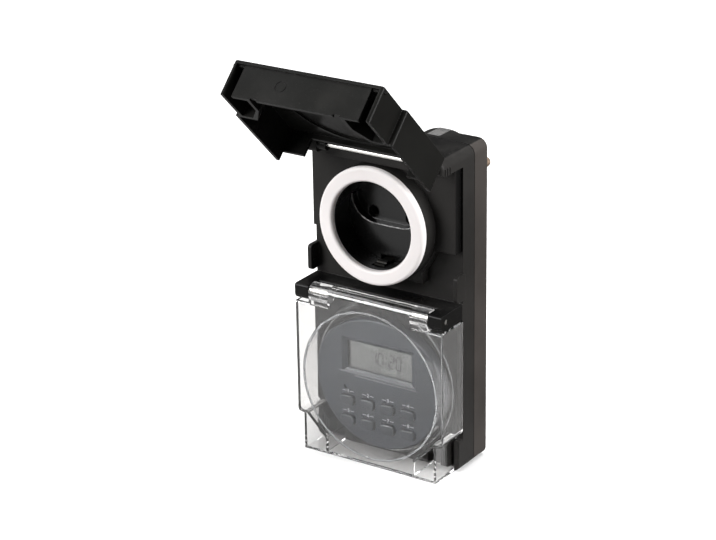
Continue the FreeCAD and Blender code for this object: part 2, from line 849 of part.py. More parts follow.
def contact_carrier():
    """Insulating block behind the socket floor that holds the two sleeve contacts."""
    bore = contact_bore_radius + contact_wall + seat_gap
    half = pin_half_spacing + bore + carrier_beside_contact
    end_y = well_back_y + contact_length + carrier_behind_contact
    solid = rounded_block(-half, half, well_back_y, end_y, socket_z - carrier_half_height,
                          socket_z + carrier_half_height, carrier_corner)
    tail_half = contact_tail_width / 2 + carrier_tail_gap
    for side in BOTH_SIDES:
        x = side * pin_half_spacing
        solid = solid.cut(cylinder_y(bore, well_back_y - past, end_y + past, x, socket_z))
        solid = solid.cut(box(x, side * (half + past), well_back_y + carrier_floor, end_y + past,
                              socket_z - tail_half, socket_z + tail_half))
    return solid


def sleeve_contact(side):
    """Slit sleeve that grips a plug pin, with a tail at the side for its strip."""
    x = side * pin_half_spacing
    outer = contact_bore_radius + contact_wall
    start_y = well_back_y + flat_gap
    end_y = well_back_y + contact_length
    sleeve = tube_y(outer, contact_bore_radius, start_y, end_y, x, socket_z)
    half_slit = contact_slit / 2
    sleeve = sleeve.cut(box(x, x - side * 2 * outer, start_y, end_y - contact_unslit, socket_z - half_slit,
                            socket_z + half_slit))
    reach = (link_x if side > 0 else bar_x) - bar_thickness
    tail_z = socket_z - contact_slit - flat_gap
    tail_end_y = end_y - contact_tail_inset
    tail = box(x + side * (outer - contact_wall / 2), side * reach, tail_end_y - contact_tail_width,
               tail_end_y, tail_z, tail_z - contact_tail_thickness)
    return sleeve.fuse(tail)


def earth_clip(side):
    """Earth clip in the top or bottom slot: an arm with a round bump, and a foot behind the floor."""
    outer = recess_radius - clip_gap
    inner = outer - clip_thickness
    half = clip_width / 2
    foot_y = well_back_y + flat_gap
    arm = box(-half, half, collar_y + clip_from_collar, foot_y + clip_thickness,
              socket_z + side * inner, socket_z + side * outer)
    bump_z = socket_z + side * (inner + clip_thickness / 2)
    bump = cylinder_x(clip_bump_radius, -half, half, collar_y + clip_bump_from_collar, bump_z)
    bump = bump.common(box(-half, half, collar_y, well_back_y, socket_z, socket_z + side * outer))
    foot = box(-half, half, foot_y, foot_y + clip_thickness, socket_z + side * clip_foot_from_axis,
               socket_z + side * outer)
    return arm.fuse([bump, foot])


def socket_earth_clips():
    """The two earth clips, as separate solids."""
    return Part.makeCompound([earth_clip(side) for side in BOTH_SIDES])


def flap_hinge_rod():
    """Steel rod through the hood that the flap turns on."""
    half = half_width - rod_end_inset
    return round_circles(cylinder_x(rod_radius, -half, half, flap_axis_y, flap_axis_z), rod_end_round)


def flap_plate_and_walls():
    """Closed flap's box: plate, side walls with a step inwards, far corner pockets and an end panel."""
    inner_half = flap_narrow_half - flap_wall
    shoulder_z = flap_step_z + flap_wall
    outline = symmetric([(flap_half, flap_start_z), (flap_half, flap_step_z),
                         (flap_narrow_half, flap_step_z), (flap_narrow_half, flap_end_z)])
    solid = prism_y(outline, flap_front_y, flap_rim_y)
    for side in BOTH_SIDES:
        solid = round_edges(solid, flap_corner_round, along=ALONG_Y, x=side * flap_half, z=flap_step_z)
    solid = round_edges(solid, flap_corner_round, along=ALONG_Y, z=flap_end_z)
    solid = round_edges(solid, flap_edge_round, y=flap_front_y)
    hollow = symmetric([(flap_inner_half, flap_start_z + past), (flap_inner_half, shoulder_z),
                        (flap_pocket_mouth - flap_wall, shoulder_z),
                        (flap_pocket_x - flap_wall, flap_pocket_z),
                        (flap_pocket_x - flap_wall, flap_panel_z + flap_wall)])
    pocket = [(inner_half, flap_step_z), (flap_pocket_mouth, flap_step_z), (flap_pocket_x, flap_pocket_z),
              (flap_pocket_x, flap_panel_z + flap_wall), (inner_half, flap_panel_z + flap_wall)]
    solid = solid.cut(prism_y(hollow, flap_inner_y, flap_rim_y + past))
    solid = solid.cut(with_mirror(prism_y(pocket, flap_inner_y, flap_rim_y + past)))
    low_z = flap_end_z - past
    high_z = flap_panel_z + flap_wall + past
    panel = box(-flap_end_panel, flap_end_panel, flap_inner_y, flap_rim_y + past, low_z, flap_panel_z)
    corner = box(flap_end_panel, inner_half, flap_inner_y, flap_rim_y + past, low_z, high_z)
    return solid.cut(panel).cut(with_mirror(corner))


def flap_hinge():
    """Knuckles round the rod, the plate's edge between them and the near end's wall, higher at its two ends."""
    knuckle = cylinder_x(flap_front_above_axis, knuckle_inner, knuckle_outer, flap_axis_y, flap_axis_z)
    joined_z = flap_start_z - hinge_overlap
    half_rod = rod_radius / 2
    web = box(knuckle_inner, knuckle_outer, flap_front_y, flap_axis_y + half_rod, joined_z, flap_axis_z)
    lip = box(-knuckle_outer, knuckle_outer, flap_front_y, flap_inner_y, joined_z, flap_axis_z + half_rod)
    lip = lip.cut(cylinder_x(rod_radius + passing_gap, -flap_half, flap_half, flap_axis_y, flap_axis_z))
    front_y = flap_front_y + flap_edge_round
    wall_z = flap_start_z - flap_wall
    low_wall = box(-flap_inner_half, flap_inner_half, front_y, flap_inner_y + flap_end_wall_depth,
                   wall_z, flap_start_z)
    high_wall = box(hood_inner + hinge_gap, flap_inner_half, front_y, pad_y - flap_rim_gap,
                    wall_z, flap_start_z)
    bore = cylinder_x(rod_radius + turning_gap, -flap_half, flap_half, flap_axis_y, flap_axis_z)
    return with_mirror(knuckle.fuse([web, high_wall])).fuse([lip, low_wall]).cut(bore)


def flap_inside_ribs():
    """Low ring round the seal's place and a rib across the plate, both inside the flap."""
    root_y = flap_inner_y - fused
    inner = flap_ring_radius - flap_ring_wall
    ring = tube_y(flap_ring_radius, inner, root_y, ring_front_y - ring_rib_gap, 0, socket_z)
    rib_y = flap_inner_y + flap_rib_height
    rib_z = socket_z - flap_rib_below_socket
    rib = box(-flap_inner_half, flap_inner_half, root_y, rib_y, rib_z, rib_z + flap_rib_width)
    return [ring, rib]


def flap_round_mark():
    """Shallow round moulding mark on the outside of the end panel."""
    middle_y = (flap_front_y + flap_rim_y) / 2
    centre = V(flap_mark_x, middle_y, flap_panel_z - past)
    outer = Part.makeCylinder(flap_mark_radius, 1 + flap_mark_depth, centre)
    inner = Part.makeCylinder(flap_mark_radius - flap_mark_line, 1 + flap_mark_depth, centre)
    return outer.cut(inner)


def socket_flap():
    """Flap over the socket, turned open to its stop."""
    solid = flap_plate_and_walls().fuse([flap_hinge()] + flap_inside_ribs())
    for side in BOTH_SIDES:
        x = side * flap_notch_x - flap_notch_width / 2
        solid = solid.cut(box(x, x + flap_notch_width, flap_rim_y - flap_notch_depth, flap_rim_y + past,
                              flap_end_z - past, flap_panel_z + 2 * flap_wall))
    solid = solid.cut(flap_round_mark()).removeSplitter()
    solid.rotate(V(0, flap_axis_y, flap_axis_z), ALONG_X, -flap_open_deg)
    return solid


def cover_outline(wall):
    """Half outline of the cover's plate, less a wall: wide, stepped in, then cut across the corner."""
    slant_x = cover_narrow_half - cover_shoulder_step - wall
    return [(cover_half - wall, cover_start_z), (cover_half - wall, cover_shoulder_z + wall),
            (slant_x, cover_shoulder_z + wall / 2), (cover_pocket_x - wall, cover_pocket_z + wall / 2),
            (cover_pocket_x - wall, cover_bottom + wall)]


def cover_pocket_walls():
    """Outer walls of the lower corner pockets: each one's side, its floor and the shoulder above it."""
    front_y = cover_front_y + cover_wall_setback
    inner_x = cover_narrow_half - cover_wall
    side = box(inner_x, cover_narrow_half, front_y, cover_rim_y, cover_bottom, cover_shoulder_z)
    floor = box(cover_pocket_x - 2 * cover_wall, cover_narrow_half, front_y, cover_rim_y, cover_bottom,
                cover_bottom + cover_wall)
    high_z = cover_shoulder_z + cover_wall
    shoulder = box(inner_x, cover_half, front_y, cover_rim_y, cover_shoulder_z, high_z)
    return with_mirror(side.fuse([floor, shoulder]))


def round_cover_shoulders(solid):
    """Take the sharp outer corners off the cover's two shoulders."""
    x = cover_half - cover_corner_round
    z = cover_shoulder_z + cover_corner_round
    corner = box(x, cover_half + past, cover_front_y - past, cover_rim_y + past, cover_shoulder_z - past, z)
    corner = corner.cut(cylinder_y(cover_corner_round, cover_front_y - 2, cover_rim_y + 2, x, z))
    fill = tube_y(cover_corner_round, cover_corner_round - cover_wall, cover_front_y + cover_wall_setback,
                  cover_rim_y, x, z)
    fill = fill.common(box(x, cover_half, cover_front_y, cover_rim_y, cover_shoulder_z, z))
    return solid.fuse(with_mirror(fill)).cut(with_mirror(corner))


def cover_hinge():
    """Two hinge barrels and the rolled lip between them, joined to the plate."""
    outer = cover_barrel_radius
    inner = outer - cover_plate
    joined_z = cover_start_z - hinge_overlap
    barrel = cylinder_x(outer, cover_knuckle_inner, cover_knuckle_outer, cover_axis_y, cover_axis_z)
    neck = box(cover_knuckle_inner, cover_knuckle_outer, cover_front_y, cover_front_y + cover_neck_thickness,
               joined_z, cover_axis_z)
    plate = box(-cover_knuckle_outer, cover_knuckle_outer, cover_front_y, cover_front_y + cover_plate,
                joined_z, cover_axis_z)
    lip = cylinder_x(outer, -cover_knuckle_inner, cover_knuckle_inner, cover_axis_y, cover_axis_z)
    lip = lip.cut(cylinder_x(inner, -cover_knuckle_inner, cover_knuckle_inner, cover_axis_y, cover_axis_z))
    lip = lip.common(box(-half_width, half_width, cover_front_y - past, cover_axis_y + cover_lip_past_axis,
                         cover_axis_z, cover_axis_z + 2 * outer))
    return with_mirror(barrel.fuse(neck)).fuse([plate, lip])


def clear_cover():
    """Clear box cover over the timer, with a round skirt, corner pockets and a rolled hinge edge."""
    inner_y = cover_front_y + cover_plate
    solid = prism_y(symmetric(cover_outline(0.0)), cover_front_y, cover_rim_y)
    solid = round_edges(solid, cover_edge_round, y=cover_front_y)
    hollow = [(cover_half - cover_wall, cover_start_z + past)] + cover_outline(cover_wall)[1:]
    solid = solid.cut(prism_y(symmetric(hollow), inner_y, cover_rim_y + past))
    solid = round_cover_shoulders(solid.fuse(cover_pocket_walls()))
    skirt = tube_y(skirt_radius, skirt_radius - skirt_wall, inner_y - 0.2, skirt_rim_y, 0, timer_z)
    solid = solid.fuse([skirt, cover_hinge()])
    bore = cylinder_x(hinge_pin_radius + turning_gap, cover_knuckle_inner - past, cover_knuckle_outer + past,
                      cover_axis_y, cover_axis_z)
    return solid.cut(with_mirror(bore)).removeSplitter()


def cover_hinge_pins():
    """Two steel pins pressed into the bridge's end blocks, as separate solids."""
    inner_x = cover_knuckle_inner + hinge_pin_past_knuckle
    outer_x = half_width - hinge_pin_sunk
    pin = cylinder_x(hinge_pin_radius, inner_x, outer_x, cover_axis_y, cover_axis_z)
    return Part.makeCompound([pin, mirrored(pin)])


def seal_ring(clear, y0, y1):
    """Ring under the clear cover's skirt, widened by a clearance for its groove."""
    middle = skirt_radius - skirt_wall / 2
    half = skirt_seal_width / 2 + clear
    return tube_y(middle + half, middle - half, y0, y1, 0, timer_z)


def cover_seal():
    """Flat rubber ring let into the timer pad under the cover's skirt."""
    return seal_ring(0.0, pad_y + seat_gap, pad_y + skirt_seal_thickness + seat_gap)


def cover_catch(side):
    """Grooved catch in a lower corner pocket, topped parallel to the pocket's slanted wall."""
    x1 = cover_narrow_half - cover_wall - catch_gap
    x0 = x1 - catch_width
    slant_x = cover_narrow_half - cover_shoulder_step
    slope = (cover_shoulder_z - cover_pocket_z) / (slant_x - cover_pocket_x)
    tip_y = rim_y - catch_rise
    bottom_z = housing_bottom + catch_above_bottom
    top = [(x, cover_shoulder_z - slope * (slant_x - x) - catch_headroom) for x in (x1, x0)]
    block = prism_y(top + [(x0, bottom_z), (x1, bottom_z)], tip_y, rim_y)
    block = round_edges(block, catch_round, y=tip_y)
    pitch = catch_width / (catch_grooves + 1)
    for step in range(catch_grooves):
        x = x0 + pitch * (step + 1) - catch_groove_width / 2
        block = block.cut(box(x, x + catch_groove_width, tip_y - past, tip_y + catch_groove_depth,
                              housing_bottom, cover_shoulder_z))
    return block if side > 0 else mirrored(block)


def key_block(place, grow, y0, y1):
    """Rounded block of a key's outline at its place, grown by a margin."""
    x, z = place
    half_w = key_width / 2 + grow
    half_h = key_height / 2 + grow
    return rounded_block(x - half_w, x + half_w, y0, y1, z - half_h, z + half_h, key_corner + grow)


def window_frame_cut():
    """Sloping cut that bevels the frame of the display window, down to its upright sides."""
    def frame_wire(grow, y):
        half_w = window_width / 2 + grow
        half_h = window_height / 2 + grow
        corners = [V(-half_w, y, window_z - half_h), V(half_w, y, window_z - half_h),
                   V(half_w, y, window_z + half_h), V(-half_w, y, window_z + half_h)]
        return Part.makePolygon(corners + corners[:1])
    slope = window_bevel / window_bevel_depth
    above = 0.2
    outer = frame_wire(window_bevel + slope * above, face_y - above)
    return Part.makeLoft([outer, frame_wire(0.0, face_y + window_bevel_depth)], True, True)


def timer_face():
    """Round timer face with the display window, the key openings and the reset hole."""
    solid = face_outline_solid(0.0, face_y, pad_y, face_round)
    solid = solid.cut(face_outline_solid(face_wall, face_back_y, pad_y + past))
    spigot_inset = face_wall + face_spigot_gap
    spigot = face_outline_solid(spigot_inset, face_back_y - fused, pad_inner_y)
    hollow_inset = spigot_inset + face_spigot
    spigot = spigot.cut(face_outline_solid(hollow_inset, face_back_y - past, pad_inner_y + past))
    upper = box(-half_width, half_width, face_y, pad_inner_y + past, timer_z - face_spigot_from, bridge_top)
    solid = solid.fuse(spigot.common(upper))
    half_w = window_width / 2
    half_h = window_height / 2
    window = box(-half_w, half_w, face_y - past, face_back_y + past, window_z - half_h, window_z + half_h)
    solid = solid.cut(window).cut(window_frame_cut())
    for place in key_places():
        solid = solid.cut(key_block(place, key_gap, face_y - past, face_back_y + past))
    return solid.cut(cylinder_y(reset_hole_radius, face_y - past, face_back_y + past, reset_x, reset_z))


def display_window():
    """Clear lens behind the window opening."""
    half_w = window_width / 2 + lens_margin
    half_h = window_height / 2 + lens_margin
    return rounded_block(-half_w, half_w, face_back_y, face_back_y + lens_thickness,
                         window_z - half_h, window_z + half_h, lens_corner)


def display_panel():
    """Liquid crystal glass: a front sheet, and a back sheet that reaches lower as the contact ledge."""
    half_w = window_width / 2 + glass_margin
    half_h = window_height / 2 + glass_margin
    middle_y = glass_y + glass_thickness
    front = box(-half_w, half_w, glass_y, middle_y, window_z - half_h, window_z + half_h)
    back = box(-half_w, half_w, middle_y, middle_y + glass_thickness, window_z - half_h - glass_ledge,
               window_z + half_h)
    return front.fuse(back)


def display_frame():
    """Plastic frame that holds the glass off the display board."""
    half_w = window_width / 2 + glass_margin + frame_gap
    low = window_z - window_height / 2 - glass_margin - glass_ledge - frame_gap
    high = window_z + window_height / 2 + glass_margin + frame_gap
    solid = box(-half_w - frame_wall, half_w + frame_wall, glass_y, display_board_y, low - frame_wall,
                high + frame_wall)
    return solid.cut(box(-half_w, half_w, glass_y - past, display_board_y + past, low, high))


def contact_strips():
    """Two rubber strips that join the glass to the display board, as separate solids."""
    start_y = glass_y + 2 * glass_thickness
    half_w = window_width / 2
    low_z = window_z - window_height / 2 - glass_margin - glass_ledge
    high_z = window_z + window_height / 2 + glass_margin - strip_height
    return Part.makeCompound([box(-half_w, half_w, start_y, display_board_y, z, z + strip_height)
                              for z in (low_z, high_z)])


def display_board():
    """Timer's own circuit board behind the face."""
    top_z = window_z + window_height / 2 + display_board_margin
    return rounded_block(-display_board_half, display_board_half, display_board_y, display_board_back_y,
                         display_board_bottom, top_z, display_board_corner)


def keypad_mat():
    """Rubber mat with a dome under every key and under the reset plunger."""
    mat_y = display_board_y - mat_thickness
    mat = rounded_block(-mat_half_width, mat_half_width, mat_y, display_board_y, last_key_row_z - mat_margin,
                        reset_z + mat_margin, mat_corner)
    dome_y = key_stem_y + key_travel + dome_gap
    domes = [cylinder_y(dome_radius, dome_y, mat_y + 0.5, x, z) for x, z in key_places()]
    domes.append(cylinder_y(reset_dome_radius, dome_y, mat_y + 0.5, reset_x, reset_z))
    return mat.fuse(domes)


def key(place):
    """Key with a cap through the face, a flange behind it and a stem towards the mat."""
    flange_y = face_back_y + fused
    cap = key_block(place, 0.0, face_y - key_rise, flange_y)
    cap = round_edges(cap, key_round, y=face_y - key_rise)
    flange = key_block(place, key_flange, flange_y, flange_y + key_flange_thickness)
    stem = cylinder_y(key_stem_radius, flange_y + key_flange_thickness - fused, key_stem_y, *place)
    return cap.fuse([flange, stem])


def reset_plunger():
    """Small plunger behind the reset hole, pressed with a pen point."""
    flange_y = face_back_y + fused
    tip_radius = reset_hole_radius - reset_tip_gap
    tip = cylinder_y(tip_radius, face_y + reset_tip_sunk, flange_y + fused, reset_x, reset_z)
    flange = cylinder_y(reset_flange_radius, flange_y, flange_y + key_flange_thickness, reset_x, reset_z)
    stem_y = flange_y + key_flange_thickness - fused
    stem = cylinder_y(reset_stem_radius, stem_y, key_stem_y, reset_x, reset_z)
    return tip.fuse([flange, stem])


def timer_chip():
    """Potted timer chip on the back of the display board."""
    end_y = display_board_back_y + chip_thickness
    blob = cylinder_y(chip_radius, display_board_back_y, end_y, chip_x, window_z - chip_below_window)
    return round_edges(blob, chip_round, y=end_y)


def quartz_crystal():
    """Watch crystal can lying on the display board."""
    axis_y = display_board_back_y + crystal_radius
    return cylinder_x(crystal_radius, crystal_left_x, crystal_left_x + crystal_length, axis_y,
                      window_z - crystal_below_window)


def board_header():
    """Pin header between the two boards."""
    low_z = display_board_bottom + header_above_edge
    pin_z = low_z + (header_height - header_pin) / 2
    body_end_y = display_board_back_y + header_height
    half = header_width / 2
    body = box(-half, half, display_board_back_y, body_end_y, low_z, low_z + header_height)
    first_x = -header_pitch * (header_pins - 1) / 2 - header_pin / 2
    for step in range(header_pins):
        x = first_x + header_pitch * step
        body = body.fuse(box(x, x + header_pin, body_end_y - fused, power_board_front_y,
                             pin_z, pin_z + header_pin))
    return body


def power_board():
    """Power circuit board on the rear shell's posts."""
    board = rounded_block(-power_board_half, power_board_half, power_board_front_y, power_board_y,
                          power_board_bottom, power_board_top, power_board_corner)
    start_y = power_board_front_y - past
    for x, z in board_post_places():
        board = board.cut(cylinder_y(board_hole_radius, start_y, power_board_y + past, x, z))
    return board


def board_screws():
    """Four small screws that hold the power board, as separate solids."""
    screws = []
    for x, z in board_post_places():
        head = cylinder_y(board_screw_head_radius, power_board_front_y - board_screw_head_height,
                          power_board_front_y, x, z)
        shank = cylinder_y(board_screw_radius, power_board_front_y - fused, rear_inner_y - 0.5, x, z)
        screws.append(head.fuse(shank))
    return Part.makeCompound(screws)


def on_power_board(size, left_x, low_z):
    """Boxed component standing on the front of the power board, with its front edges rounded."""
    front_y = power_board_front_y - size[1]
    block = box(left_x, left_x + size[0], front_y, power_board_front_y, low_z, low_z + size[2])
    return round_edges(block, component_round, y=front_y)


def relay():
    """Flat power relay."""
    return on_power_board(relay_size, relay_left_x, power_board_top - relay_below_edge)


def dropper_capacitor():
    """Film capacitor that feeds the low-voltage supply."""
    return on_power_board(dropper_size, dropper_left_x, power_board_top - dropper_below_edge)


def smoothing_capacitor():
    """Electrolytic capacitor lying on the board."""
    end_x = smoothing_left_x + smoothing_length
    can = cylinder_x(smoothing_radius, smoothing_left_x, end_x, power_board_front_y - smoothing_radius,
                     power_board_top - smoothing_below_edge)
    return round_circles(can, component_round)


def backup_cell():
    """Rechargeable button cell that keeps the clock running, on its welded tab."""
    z = power_board_top - cell_below_edge
    tab_y = power_board_front_y - cell_tab
    cell = round_circles(cylinder_y(cell_radius, tab_y - cell_thickness, tab_y, cell_x, z), component_round)
    reach = cell_radius + cell_tab_past
    half = cell_tab_width / 2
    return cell.fuse(box(cell_x - half, cell_x + half, tab_y, power_board_front_y, z - reach, z + reach))


def rectifier_diodes():
    """Row of diodes on bent leads, as separate solids."""
    diodes = []
    axis_y = power_board_front_y - diode_radius - diode_above_board
    half_body = diode_length / 2
    half_lead = lead_length / 2
    for step in range(diode_count):
        z = power_board_top - first_diode_below_edge - step * diode_pitch
        body = cylinder_x(diode_radius, diode_x - half_body, diode_x + half_body, axis_y, z)
        lead = cylinder_x(lead_radius, diode_x - half_lead, diode_x + half_lead, axis_y, z)
        feet = [box(x - lead_radius, x + lead_radius, axis_y - lead_radius, power_board_front_y,
                    z - lead_radius, z + lead_radius)
                for x in (diode_x - half_lead, diode_x + half_lead)]
        diodes.append(body.fuse([lead] + feet))
    return Part.makeCompound(diodes)


def nodes():
    """Every separate piece by name."""
    made = {
        "front_shell": front_shell(),
        "rear_shell": rear_shell(),
        "seam_seal": seam_seal(),
        "housing_screws": housing_screws(),
        "plug_neck": plug_neck(),
        "line_pin": plug_pin(1),
        "neutral_pin": plug_pin(-1),
        "plug_earth_strips": plug_earth_strips(),
        "line_busbar": busbar(1),
        "neutral_busbar": busbar(-1),
        "line_link": line_link(),
        "socket_well": socket_well(),
        "socket_insert": socket_insert(),
        "sealing_ring": sealing_ring(),
        "contact_carrier": contact_carrier(),
        "line_contact": sleeve_contact(1),
        "neutral_contact": sleeve_contact(-1),
        "socket_earth_clips": socket_earth_clips(),
        "flap_hinge_rod": flap_hinge_rod(),
        "socket_flap": socket_flap(),
        "clear_cover": clear_cover(),
        "cover_hinge_pins": cover_hinge_pins(),
        "cover_seal": cover_seal(),
        "cover_catch_left": cover_catch(-1),
        "cover_catch_right": cover_catch(1),
        "timer_face": timer_face(),
        "display_window": display_window(),
        "display_panel": display_panel(),
        "display_frame": display_frame(),
        "contact_strips": contact_strips(),
        "display_board": display_board(),
        "timer_chip": timer_chip(),
        "quartz_crystal": quartz_crystal(),
        "keypad_mat": keypad_mat(),
        "reset_plunger": reset_plunger(),
        "board_header": board_header(),
        "power_board": power_board(),
        "board_screws": board_screws(),
        "relay": relay(),
        "dropper_capacitor": dropper_capacitor(),
        "smoothing_capacitor": smoothing_capacitor(),
        "backup_cell": backup_cell(),
        "rectifier_diodes": rectifier_diodes(),
    }
    for number, place in enumerate(key_places(), start=1):
        made["key_%d" % number] = key(place)
    return made


os.makedirs("parts", exist_ok=True)
for name, shape in nodes().items():
    if not shape.isValid():
        print("not valid:", name)
    print("%-20s solids %d  volume %10.1f" % (name, len(shape.Solids), shape.Volume))
    shape.exportStep("parts/%s.step" % name)
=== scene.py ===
"""The dress of a digital timer switch: an outdoor housing with a plug behind, a socket under a flap,
and a timer under a clear cover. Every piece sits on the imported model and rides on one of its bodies."""

import logging
import math
import random
from dataclasses import dataclass, field
from enum import Enum
from typing import Callable

import bmesh
import bpy
from mathutils import Matrix, Vector


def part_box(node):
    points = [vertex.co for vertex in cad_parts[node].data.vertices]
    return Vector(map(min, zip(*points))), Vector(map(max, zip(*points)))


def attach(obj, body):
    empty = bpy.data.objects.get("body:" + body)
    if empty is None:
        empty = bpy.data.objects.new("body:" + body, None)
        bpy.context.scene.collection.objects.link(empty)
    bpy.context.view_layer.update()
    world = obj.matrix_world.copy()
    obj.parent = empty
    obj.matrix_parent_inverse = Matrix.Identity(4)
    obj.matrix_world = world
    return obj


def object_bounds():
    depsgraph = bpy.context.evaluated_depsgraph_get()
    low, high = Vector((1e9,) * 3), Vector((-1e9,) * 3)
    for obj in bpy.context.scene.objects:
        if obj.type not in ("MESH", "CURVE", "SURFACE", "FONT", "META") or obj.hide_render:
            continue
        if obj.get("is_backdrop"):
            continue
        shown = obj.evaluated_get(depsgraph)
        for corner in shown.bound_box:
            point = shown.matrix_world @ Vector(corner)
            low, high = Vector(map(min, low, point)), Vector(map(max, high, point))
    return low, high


LOG = logging.getLogger("timer_switch")
MM = 0.001
SAME_PLACE = 0.0005 * MM
SHARP_ANGLE = math.radians(35)
FACE_ORDER = Vector((1.0, 31.0, 977.0))

Triple = tuple[float, float, float]
Colour = Triple
Socket = bpy.types.NodeSocket
Setting = float | int | str | bool | Colour

# How the shared effects are drawn; a pattern's scale is how many of its lumps lie in a metre
BEVEL_SAMPLES = 4
PIT_SCALE = 0.45
PIT_SHARE = 0.7
WORN_PATCHES = 420.0
DUST_PATCHES = 70.0
DUST_SPECKS = 1500.0
DUST_COLOUR = (0.38, 0.36, 0.34)
SCRATCH_TURN = (0.7, 0.4, 1.1)
SCRATCH_STRETCH = (0.03, 1.0, 1.0)
UNWORN_BEND = 0.995
WORN_BEND = 0.86

# Where Blender's Mix node keeps its two colours and their mixture
MIX_UNDER = 6
MIX_OVER = 7
MIXED = 2

KEYS = range(1, 9)

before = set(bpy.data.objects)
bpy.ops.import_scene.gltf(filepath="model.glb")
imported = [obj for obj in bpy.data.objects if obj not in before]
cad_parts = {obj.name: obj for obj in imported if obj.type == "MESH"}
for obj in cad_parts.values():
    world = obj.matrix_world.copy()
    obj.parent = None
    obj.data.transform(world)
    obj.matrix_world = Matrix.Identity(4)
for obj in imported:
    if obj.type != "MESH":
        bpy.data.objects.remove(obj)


class Body(Enum):
    """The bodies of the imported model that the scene's own pieces ride on."""

    HOUSING = "housing"
    COVER = "cover"


class Axis(Enum):
    """The direction that a brushed or drawn metal's lines run in."""

    X = (0.04, 1.0, 1.0)
    Y = (1.0, 0.04, 1.0)


class NodeSheet:
    """A node tree with short ways to add nodes and join them."""

    def __init__(self, tree: bpy.types.NodeTree) -> None:
        """Takes over a tree.

        Args:
            tree: The tree that the nodes go into.
        """
        self.tree = tree

    def add(self, kind: str, **settings: Setting) -> bpy.types.Node:
        """Adds one node.

        Args:
            kind: Blender's name for the kind of node.
            settings: Properties of the node to set.

        Returns:
            The new node.
        """
        node = self.tree.nodes.new(kind)
        for name, value in settings.items():
            setattr(node, name, value)
        return node

    def join(self, source: Socket, target: Socket) -> None:
        """Links one socket to another."""
        self.tree.links.new(source, target)

    def feed(self, value: Socket | Setting, target: Socket) -> None:
        """Gives an input its value, from a link or as it is.

        Args:
            value: A socket to link, or a plain value.
            target: The input.
        """
        if isinstance(value, bpy.types.NodeSocket):
            self.join(value, target)
        else:
            target.default_value = value

    def sum(self, operation: str, *values: Socket | float, limit: bool = False) -> Socket:
        """Works out a value.

        Args:
            operation: The Math node's operation.
            values: Its inputs in order.
            limit: True to keep the result between 0 and 1.

        Returns:
            The result's socket.
        """
        node = self.add("ShaderNodeMath", operation=operation, use_clamp=limit)
        for value, target in zip(values, node.inputs):
            self.feed(value, target)
        return node.outputs[0]

    def between(
        self, value: Socket, low: float, high: float, first: float = 0.0, last: float = 1.0,
    ) -> Socket:
        """Turns one range of a value into another, smoothly and without going past its ends.

        Args:
            value: The value to read.
            low: Where the result is first.
            high: Where the result is last.
            first: The result at low.
            last: The result at high.

        Returns:
            The result's socket.
        """
        node = self.add("ShaderNodeMapRange", interpolation_type="SMOOTHSTEP")
        for place, given in enumerate((value, low, high, first, last)):
            self.feed(given, node.inputs[place])
        return node.outputs[0]

    def blend(self, amount: Socket | float, under: Socket | Colour, over: Socket | Colour) -> Socket:
        """Mixes two colours.

        Args:
            amount: How much of the second colour shows.
            under: The first colour.
            over: The second colour.

        Returns:
            The mixed colour's socket.
        """
        node = self.add("ShaderNodeMix", data_type="RGBA")
        self.feed(amount, node.inputs[0])
        for given, target in ((under, node.inputs[MIX_UNDER]), (over, node.inputs[MIX_OVER])):
            self.feed((*given, 1.0) if isinstance(given, tuple) else given, target)
        return node.outputs[MIXED]

    def noise(
        self, where: Socket, scale: Socket | float, detail: float = 3.0, roughness: float = 0.55,
    ) -> Socket:
        """Adds a noise pattern.

        Args:
            where: The coordinates to read it at.
            scale: How many of its lumps lie in a metre.
            detail: How many finer layers it has.
            roughness: How strong the finer layers are.

        Returns:
            The noise value's socket.
        """
        node = self.add("ShaderNodeTexNoise")
        self.join(where, node.inputs["Vector"])
        self.feed(scale, node.inputs["Scale"])
        node.inputs["Detail"].default_value = detail
        node.inputs["Roughness"].default_value = roughness
        return node.outputs["Fac"]

    def stretched(self, where: Socket, stretch: Triple) -> Socket:
        """Pulls coordinates out along their axes.

        Args:
            where: The coordinates.
            stretch: What each axis is multiplied by.

        Returns:
            The new coordinates' socket.
        """
        node = self.add("ShaderNodeVectorMath", operation="MULTIPLY")
        self.join(where, node.inputs[0])
        node.inputs[1].default_value = stretch
        return node.outputs[0]

    def own_place(self) -> Socket:
        """Reads the object's own coordinates."""
        return self.add("ShaderNodeTexCoord").outputs["Object"]

    def apart(self, vector: Socket) -> tuple[Socket, Socket, Socket]:
        """Takes a vector apart.

        Args:
            vector: The vector.

        Returns:
            The sockets of its three values.
        """
        node = self.add("ShaderNodeSeparateXYZ")
        self.join(vector, node.inputs[0])
        return node.outputs["X"], node.outputs["Y"], node.outputs["Z"]

    def rounded(self, radius: Socket | float) -> Socket:
        """Reads a normal that runs round the edges.

        Args:
            radius: The radius that the edges seem to have.

        Returns:
            The normal's socket.
        """
        node = self.add("ShaderNodeBevel", samples=BEVEL_SAMPLES)
        self.feed(radius, node.inputs["Radius"])
        return node.outputs["Normal"]

    def relief(
        self,
        shader: bpy.types.Node,
        height: Socket,
        depth: float,
        strength: float,
        normal: Socket | None = None,
    ) -> None:
        """Gives a shader a fine relief.

        Args:
            shader: The shader.
            height: The pattern of the relief.
            depth: How deep it is.
            strength: How much of it shows.
            normal: The normal that it starts from, if not the surface's own.
        """
        bump = self.add("ShaderNodeBump")
        bump.inputs["Strength"].default_value = strength
        bump.inputs["Distance"].default_value = depth
        self.join(height, bump.inputs["Height"])
        if normal:
            self.join(normal, bump.inputs["Normal"])
        self.join(bump.outputs["Normal"], shader.inputs["Normal"])


